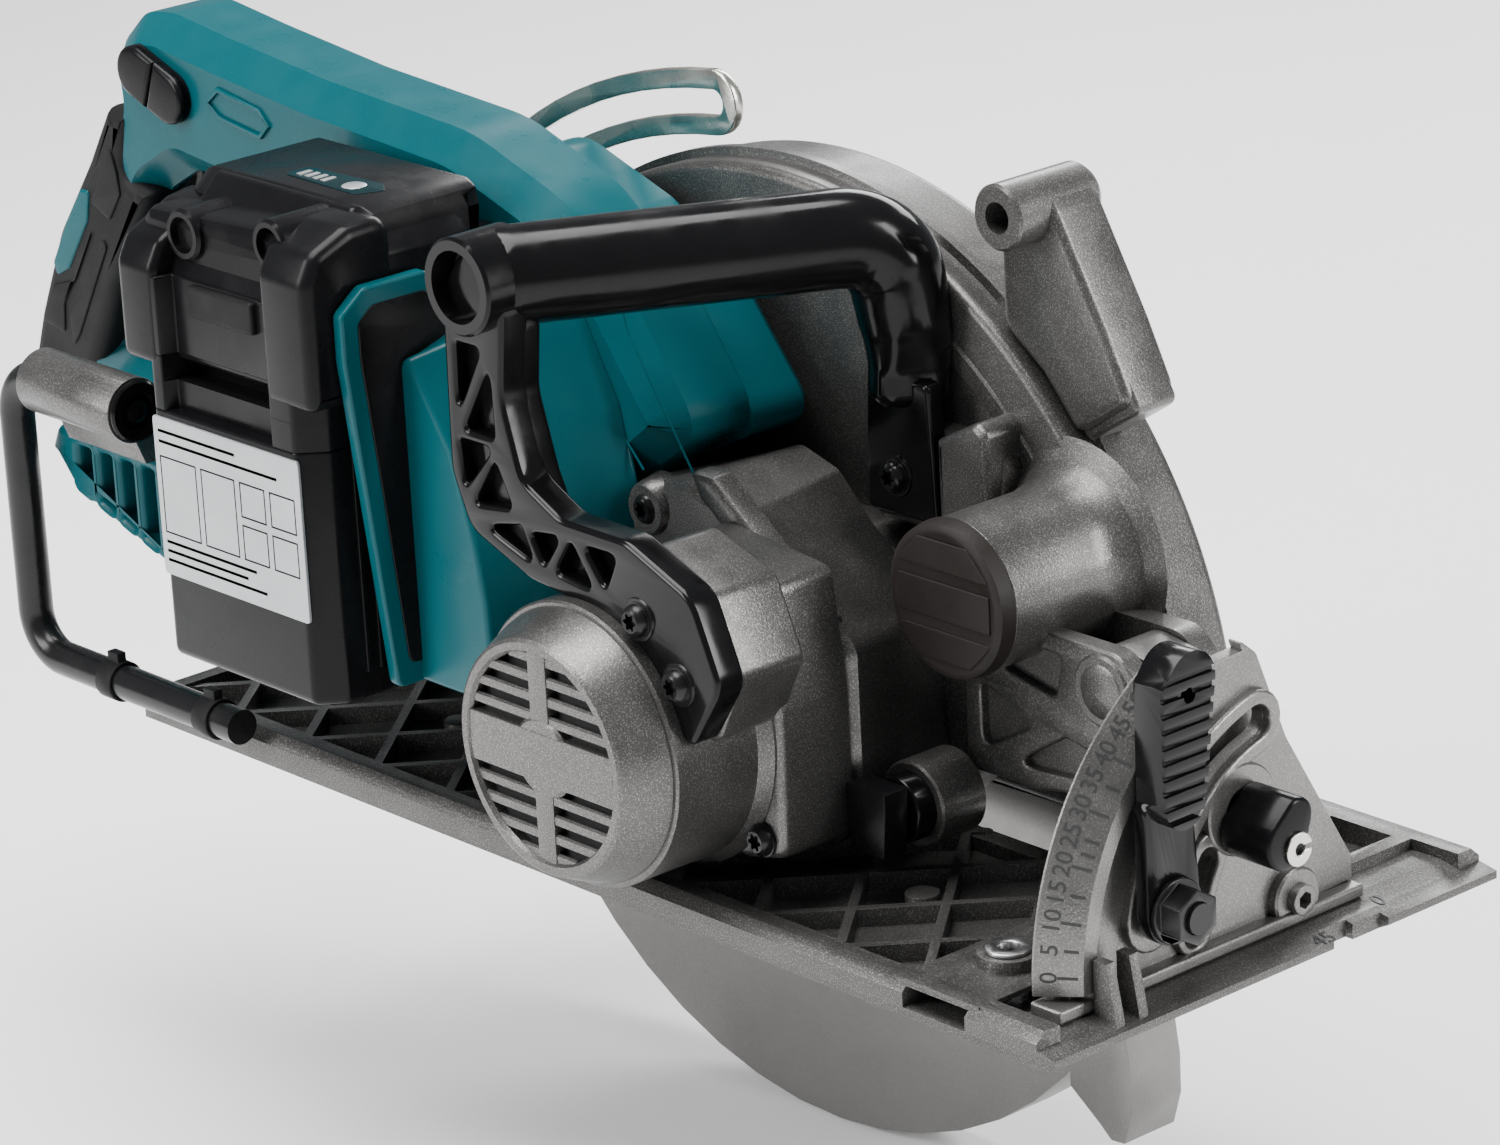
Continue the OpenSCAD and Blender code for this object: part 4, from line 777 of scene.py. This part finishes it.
def front_handle_pieces():
    """Front handle: one bar bent down into its far post, and a near post with pockets between ribs."""
    black = FINISH["black_plastic"]
    bar = rounded([(9.5, -62.5, 164), (59, 27, 164), (61, 31, 134), (61, 30, 121)], 15, 10)
    n = len(bar)
    t = np.clip((np.arange(n) / n - 0.62) / 0.3, 0, 1)[:, None, None]
    section = (1 - t) * disc_section(13, 13, 32) + t * disc_section(10.5, 8, 32, 3.2)
    post = fillet([(-3, 161), (-4, 112), (2.4, 97), (25.7, 88.5), (53, 86), (68, 76), (84.7, 57), (97.5, 76),
                   (88, 98), (64, 107.6), (39, 107.7), (24.3, 115), (18.3, 135), (21, 160), (9, 176)],
                  [6, 14, 10, 20, 20, 16, 3, 8, 10, 14, 12, 10, 20, 8, 8])
    pockets = [fillet(q, 1.6) for q in (
        [(1, 147), (0.5, 128), (11, 147)], [(2.5, 124), (14, 143), (14.5, 124)],
        [(0, 121), (1.4, 108), (13.5, 121)],
        [(4.6, 104.5), (14, 118), (20, 106.5)], [(8.5, 99.5), (23, 102.5), (27.5, 93.5)],
        [(26.6, 101.5), (38.5, 103), (31.5, 93.5)], [(36, 93), (42.5, 102.8), (50.5, 91.5)],
        [(47.5, 102.6), (60, 102.6), (55.5, 93)])]
    shapes = [
        sweep(bar, section, (0.874, -0.486, 0), 4),
        plate([post] + pockets, -71, -66.5, 1.4, 0),
        plate([post], -66.6, -61.9, 0, 1.0),
        plate([fillet([(-3, 161), (-4, 112), (2.4, 97), (16, 92), (32, 99), (24.3, 115), (18.3, 135),
                       (21, 160)],
                      [6, 14, 10, 3, 3, 8, 14, 8])], -63, -57, 0, 2),
        plate([fillet([(48, 88), (75, 88), (73, 126), (50, 126)], 2.5)], 25.2, 29.9, 1.2, 0),
        lathe([(-75.5, 9.6), (-75.5, 12.2), (-74.6, 13), (-58, 13), (-58, 9.6)], (9, 164), "y", 48),
    ]
    add_piece("front_handle_moulding", shapes, "saw", black, ("front_handle",), angle=34)
    # near-black disc in the bar's open end: painted shade for the shaded inside of the tube
    add_piece("bar_end_painted_shade", [lathe([(-68, 0), (-68, 9.8), (-62, 9.8), (-62, 0)], (9, 164), "y", 32)], "saw",
              FINISH["marking"])
    screws = [pan_head((68, 88), -71.0), pan_head((82, 74), -71.0), pan_head((60, 99), 25.2)]
    washers = [lathe([(y - 0.5, 2.6), (y - 0.5, 5.6), (y, 5.8), (y, 2.6)], at, "y", 32)
               for at, y in (((68, 88), -71.0), ((82, 74), -71.0), ((60, 99), 25.2))]
    add_piece("front_handle_screws", screws + washers, "saw", FINISH["black_steel"],
              ("handle_screws",))
    case = [pan_head((14, 92), -20.1), pan_head((80, 24), -44.1)]
    add_piece("gear_case_screws", case, "saw", FINISH["black_steel"], ("housing_screws",))


def quadrant_pieces():
    """Bevel quadrant: a web with two curved slots, the scale's conical rim, borders, hub and foot."""
    by, bz = BEVEL

    def seen(r, a):
        return np.stack([by - r * np.cos(np.radians(a)), bz + r * np.sin(np.radians(a))], -1)

    def slot(r, w, a0, a1):
        """Curved slot of width w at radius r: two arcs joined by two half circles."""
        half = np.linspace(0, 180, 10)
        arcs = np.linspace(a0, a1, 20)
        start, end = seen(r, a0), seen(r, a1)
        cap1 = end + w / 2 * np.stack([-np.cos(np.radians(a1 + half)), np.sin(np.radians(a1 + half))], -1)
        cap0 = start + w / 2 * np.stack([-np.cos(np.radians(a0 + 180 + half)),
                                         np.sin(np.radians(a0 + 180 + half))], -1)
        return np.concatenate([seen(r + w / 2, arcs[1:-1]), cap1, seen(r - w / 2, arcs[::-1][1:-1]), cap0])

    web = np.concatenate([seen(77.5, np.linspace(-2, 62, 33)),
                          fillet([(20, 86), (27, 80), (37, 55), (60, 16), (60, 6)], [4, 4, 10, 2, 1]),
                          [(by - 77.5, 6)]])
    big, small = slot(52, 9, 12, 76), slot(36, 7, 2, 32)
    shapes = [
        plate([web, big, small], 182, 186, 0, 0.4, "x"),
        plate([slot(52, 17, 11, 76), big], 185.9, 188.5, 0, 0.9, "x"),
        plate([slot(36, 12.5, 3, 34), small], 185.9, 188.2, 0, 0.8, "x"),
        # rim: its cross-section (x, radius) is turned about the bevel axis
        lathe([(180.4, 72), (180.0, 72.4), (180.0, 84.5), (180.6, 84.5), (189.7, 77.2), (190, 76.8),
               (190, 72.4),
               (189.6, 72)], BEVEL, "x", 60, 119.5, 181),
        plate([fillet([(-48, 6), (60, 6), (60, 9.5), (-48, 9.5)], 0.8)], 180, 190, 0, 0.8, "x"),
        lathe([(180, 4.1), (180, 8), (188.4, 8), (189, 7.4), (189, 4.1)], BEVEL, "x", 40),
        lathe([(185.9, 6), (185.9, 12), (188.5, 12), (189, 11.5), (189, 6)], (18, 42), "x", 40),
    ]
    add_piece("quadrant", shapes, "shoe", FINISH["cast_alloy"], ("bevel_quadrant",), angle=32)


def scale_pieces():
    """Bevel scale on the quadrant's cone, the numbers on the front strip and the tick marks.

    The cone runs from radius 85 at x 180 to 77 at x 190; a point at distance u round it and v
    along it from its rear edge is lifted along the normal (0.625, 0.781).
    """
    by, bz = BEVEL

    def on_cone(u, v, lift, angle):
        t = np.radians(angle) + u / 81.0
        x = 180.0 + 0.781 * v + 0.625 * lift
        r = 85.0 - 0.625 * v + 0.781 * lift
        return np.stack([x, by - r * np.cos(t), bz + r * np.sin(t)], -1)

    shapes = []
    grid = np.array([(0, 0, 0), (1, 0, 0), (1, 1, 0), (0, 1, 0), (0, 0, 1), (1, 0, 1), (1, 1, 1),
                     (0, 1, 1)], float)
    sides = [[0, 3, 2, 1], [4, 5, 6, 7], [0, 1, 5, 4], [1, 2, 6, 5], [2, 3, 7, 6], [3, 0, 4, 7]]
    for tick in list(range(0, 51, 5)) + [22.5]:
        length = 5.0 if tick % 10 == 0 else 3.6
        u = (grid[:, 0] - 0.5) * 0.7
        v = 11.6 - length * grid[:, 1]
        shapes.append((on_cone(u, v, 0.22 * grid[:, 2] - 0.1, 2.41 + tick), sides))
        if tick != 22.5:
            verts, faces = number(str(int(tick)), 4.6)
            shapes.append((on_cone(verts[:, 0], 4.6 - verts[:, 1], verts[:, 2] * 0.22 - 0.1, 2.41 + tick),
                           faces))
    add_piece("bevel_scale", shapes, "shoe", FINISH["marking"])
    marks = []
    for text, x, y in (("45", 198.0, 36.5), ("0", 193.0, 62.0)):
        verts, faces = number(text, 5.0)
        # the strip slopes: its surface is at z = 43.6 - x / 5
        front = x - verts[:, 1]
        marks.append((np.stack([front, y + verts[:, 0], 43.5 - front / 5 + 0.25 * verts[:, 2]], -1), faces))
    add_piece("strip_marks", marks, "shoe", FINISH["marking"])


def number(text, size):
    """Flat digits of a given height as a mesh centred on the origin, from z 0 to 1."""
    curve = bpy.data.curves.new("digits", "FONT")
    curve.body = text
    curve.size = size * 1.35
    curve.align_x, curve.align_y = "CENTER", "CENTER"
    curve.resolution_u = 3
    curve.extrude = 0.5
    holder = bpy.data.objects.new("digits", curve)
    mesh = bpy.data.meshes.new_from_object(holder)
    verts = np.empty(len(mesh.vertices) * 3)
    mesh.vertices.foreach_get("co", verts)
    faces = [list(f.vertices) for f in mesh.polygons]
    bpy.data.objects.remove(holder)
    bpy.data.curves.remove(curve)
    bpy.data.meshes.remove(mesh)
    verts = verts.reshape(-1, 3)
    return verts + (0, 0, 0.5), faces


def cap_pieces():
    """Dust cap: a rubber disc with a rounded rim, two steps and a raised blank bar."""
    disc = [(-4.1, 0), (-4.1, 20.9), (-5.0, 20.9), (-8.4, 20.3), (-9.2, 18.9), (-9.2, 17.6), (-9.0, 17.2),
            (-9.0, 0)]
    chord = [[(NOZZLE[0] - 17, NOZZLE[1] + s * 8), (NOZZLE[0] + 17, NOZZLE[1] + s * 8),
              (NOZZLE[0] + 9, NOZZLE[1] + s * 16), (NOZZLE[0] - 9, NOZZLE[1] + s * 16)] for s in (-1, 1)]
    shapes = [lathe(disc, NOZZLE, "y", 72),
              lathe([(-5, 17.3), (-5, 14.5), (6, 14.5), (6, 17.3)], NOZZLE, "y", 56),
              plate([fillet([(NOZZLE[0] - 16.5, NOZZLE[1] - 5), (NOZZLE[0] + 16.5, NOZZLE[1] - 5),
                             (NOZZLE[0] + 16.5, NOZZLE[1] + 5), (NOZZLE[0] - 16.5, NOZZLE[1] + 5)], 1)],
                    -9.5, -8, 0.3, 0)]
    shapes += [plate([fillet(c, 1)], -9.5, -8, 0.3, 0) for c in chord]
    add_piece("cap_disc", shapes, "cap", FINISH["cap_rubber"], ("dust_cap",))


def small_castings():
    """The nodes whose CAD shape is right: welded, with rounded edges and their finish."""
    edges = {
        "base_plate": 0.5, "front_bracket": 1.2, "bevel_lever": 0.7, "bevel_nut": 0.4,
        "bevel_stop_knob": 1.6, "rear_bracket": 0.8, "depth_guide": 0.4, "guide_rivet": 0.4,
        "depth_lever": 1.2,
        "bevel_pin_front": 0.4, "fence_screw": 0.5, "fence_insert": 0.3, "stop_clip": 0.2, "hook_tube": 0.6,
        "lock_sleeve": 0.8, "spindle_lock": 1.2, "trigger": 1.6, "hex_wrench": 0.2, "blade_bolt": 0.4,
        "lower_guard": 0.4, "battery_mount": 0.6, "blade_flanges": 0.3, "hook_sleeves": 0.6,
    }
    darker = {"bevel_nut": "black_steel", "bevel_stop_knob": "battery_plastic",
              "spindle_lock": "battery_plastic",
              "bevel_pin_front": "cast_alloy", "rear_bracket": "cast_alloy"}
    for node, width in edges.items():
        cast_copy(node, FINISH[darker.get(node, SLOT[node])], width)


# ---------------------------------------------------------------- stage

def set_camera():
    """Camera at the viewing angle: 49.07 degrees round from the side, 19.48 degrees up, rolled -2.97."""
    az, el, roll = (math.radians(a) for a in (49.073, 19.479, -2.967))
    back = Vector((math.sin(az) * math.cos(el), -math.cos(az) * math.cos(el), math.sin(el)))
    right = Vector((math.cos(az), math.sin(az), 0))
    up = back.cross(right)
    right2 = right * math.cos(roll) + up * math.sin(roll)
    up2 = up * math.cos(roll) - right * math.sin(roll)
    data = bpy.data.cameras.new("camera")
    data.lens = 140.56
    data.sensor_width = 36.0
    data.clip_end = 20.0
    camera = bpy.data.objects.new("camera", data)
    camera.matrix_world = Matrix.Translation(Vector((1.1223, -0.9478, 0.5838))) @ Matrix(
        (right2, up2, back)).transposed().to_4x4()
    bpy.context.scene.collection.objects.link(camera)
    bpy.context.scene.camera = camera


def add_light(name, place_at, aim, size, power, colour=(1, 1, 1)):
    """Soft area light at a place, facing a point."""
    data = bpy.data.lights.new(name, "AREA")
    data.shape = "RECTANGLE"
    data.size, data.size_y = size
    data.energy = power
    data.color = colour
    light = bpy.data.objects.new(name, data)
    light.location = place_at
    light.rotation_euler = (Vector(aim) - Vector(place_at)).to_track_quat("-Z", "Y").to_euler()
    bpy.context.scene.collection.objects.link(light)


def set_stage():
    """Pale floor under the lower guard, a pale surround and soft lights."""
    floor_gap, half_floor = 0.0004, 4.0
    floor_z = cad_box[0][2] - floor_gap
    x, y = np.meshgrid((-half_floor, half_floor), (-half_floor, half_floor))
    verts = np.stack([x, y, np.full_like(x, floor_z)], -1).reshape(-1, 3)
    mesh = bpy.data.meshes.new("floor")
    mesh.from_pydata(verts.tolist(), [], [[0, 1, 3, 2]])
    mesh.materials.append(finish("floor", (0.97, 0.97, 0.97), 0.9, blotch=0.005))
    floor = bpy.data.objects.new("floor", mesh)
    bpy.context.scene.collection.objects.link(floor)
    world = bpy.data.worlds.new("surround")
    world.use_nodes = True
    world.node_tree.nodes["Background"].inputs["Color"].default_value = (0.95, 0.97, 1.0, 1)
    world.node_tree.nodes["Background"].inputs["Strength"].default_value = 0.30
    bpy.context.scene.world = world
    aim = (0.0, 0.0, 0.06)
    add_light("top box", (-0.2, -0.1, 1.5), aim, (1.3, 0.9), 46)
    add_light("left box", (-0.7, -1.5, 0.9), aim, (0.7, 1.2), 34)
    add_light("right strip", (1.6, 0.7, 0.8), aim, (0.4, 1.4), 34)
    add_light("back strip", (-0.6, 1.5, 0.9), aim, (1.4, 0.5), 24)


# ---------------------------------------------------------------- add-on

class SawLook(bpy.types.PropertyGroup):
    """Colours a user may change."""

    teal: bpy.props.FloatVectorProperty(name="Shell", description="Colour of the moulded shell",
                                        subtype="COLOR", default=(0.0, 0.070, 0.085), size=3, min=0, max=1)
    paint: bpy.props.FloatVectorProperty(name="Casting paint", description="Colour of the painted castings",
                                         subtype="COLOR", default=(0.085, 0.082, 0.079), size=3, min=0, max=1)


class SAW_OT_finishes(bpy.types.Operator):
    """Make every finish"""

    bl_idname = "saw.finishes"
    bl_label = "Finishes"

    def execute(self, context):
        make_finishes(context.scene.saw_look)
        for node, piece in NODES.items():
            piece.data.materials.clear()
            piece.data.materials.append(FINISH["black_steel"] if node == "bevel_bolt" else finish_of(node))
        return {"FINISHED"}


class SAW_OT_guard(bpy.types.Operator):
    """Blade cover, boss and hinge arm"""

    bl_idname = "saw.guard"
    bl_label = "Blade cover"

    def execute(self, context):
        guard_pieces()
        return {"FINISHED"}


class SAW_OT_gear_case(bpy.types.Operator):
    """Gear case"""

    bl_idname = "saw.gear_case"
    bl_label = "Gear case"

    def execute(self, context):
        gear_case_pieces()
        return {"FINISHED"}


class SAW_OT_motor(bpy.types.Operator):
    """Motor case and its end cover"""

    bl_idname = "saw.motor"
    bl_label = "Motor"

    def execute(self, context):
        motor_pieces()
        return {"FINISHED"}


class SAW_OT_housing(bpy.types.Operator):
    """Rear handle and its housing"""

    bl_idname = "saw.housing"
    bl_label = "Rear housing"

    def execute(self, context):
        rear_housing_pieces()
        return {"FINISHED"}


class SAW_OT_grip(bpy.types.Operator):
    """Grip rubber, its inlay and the lock-off button"""

    bl_idname = "saw.grip"
    bl_label = "Grip"

    def execute(self, context):
        grip_pieces()
        tube_end_pieces()
        return {"FINISHED"}


class SAW_OT_cheek(bpy.types.Operator):
    """Cheek and bulge beside the battery"""

    bl_idname = "saw.cheek"
    bl_label = "Battery cheek"

    def execute(self, context):
        cheek_pieces()
        return {"FINISHED"}


class SAW_OT_battery(bpy.types.Operator):
    """Battery with its label, gauge and release pad"""

    bl_idname = "saw.battery"
    bl_label = "Battery"

    def execute(self, context):
        battery_pieces()
        return {"FINISHED"}


class SAW_OT_front_handle(bpy.types.Operator):
    """Front handle and its screws"""

    bl_idname = "saw.front_handle"
    bl_label = "Front handle"

    def execute(self, context):
        front_handle_pieces()
        return {"FINISHED"}


class SAW_OT_quadrant(bpy.types.Operator):
    """Bevel quadrant"""

    bl_idname = "saw.quadrant"
    bl_label = "Bevel quadrant"

    def execute(self, context):
        quadrant_pieces()
        return {"FINISHED"}


class SAW_OT_scale(bpy.types.Operator):
    """Bevel scale and the front strip's numbers"""

    bl_idname = "saw.scale"
    bl_label = "Scale"

    def execute(self, context):
        scale_pieces()
        return {"FINISHED"}


class SAW_OT_cap(bpy.types.Operator):
    """Dust cap"""

    bl_idname = "saw.cap"
    bl_label = "Dust cap"

    def execute(self, context):
        cap_pieces()
        return {"FINISHED"}


class SAW_OT_castings(bpy.types.Operator):
    """Small castings and hardware"""

    bl_idname = "saw.castings"
    bl_label = "Castings and hardware"

    def execute(self, context):
        small_castings()
        return {"FINISHED"}


class SAW_OT_stage(bpy.types.Operator):
    """Floor, surround, lights and camera"""

    bl_idname = "saw.stage"
    bl_label = "Stage"

    def execute(self, context):
        set_stage()
        set_camera()
        return {"FINISHED"}


OPERATORS = (SAW_OT_finishes, SAW_OT_guard, SAW_OT_gear_case, SAW_OT_motor, SAW_OT_housing, SAW_OT_grip,
             SAW_OT_cheek, SAW_OT_battery, SAW_OT_front_handle, SAW_OT_quadrant, SAW_OT_scale, SAW_OT_cap,
             SAW_OT_castings,
             SAW_OT_stage)


class SAW_PT_panel(bpy.types.Panel):
    """The saw's pieces, in the order they are made"""

    bl_label = "Circular saw"
    bl_space_type = "VIEW_3D"
    bl_region_type = "UI"
    bl_category = "Saw"

    def draw(self, context):
        self.layout.prop(context.scene.saw_look, "teal")
        self.layout.prop(context.scene.saw_look, "paint")
        for operator in OPERATORS:
            self.layout.operator(operator.bl_idname)


CLASSES = (SawLook,) + OPERATORS + (SAW_PT_panel,)


def register():
    for cls in CLASSES:
        bpy.utils.register_class(cls)
    bpy.types.Scene.saw_look = bpy.props.PointerProperty(type=SawLook)


def unregister():
    del bpy.types.Scene.saw_look
    for cls in reversed(CLASSES):
        bpy.utils.unregister_class(cls)


def main():
    """Builds every piece in order."""
    register()
    for operator in OPERATORS:
        group, name = operator.bl_idname.split(".")
        getattr(getattr(bpy.ops, group), name)()


if __name__ == "__main__":
    main()
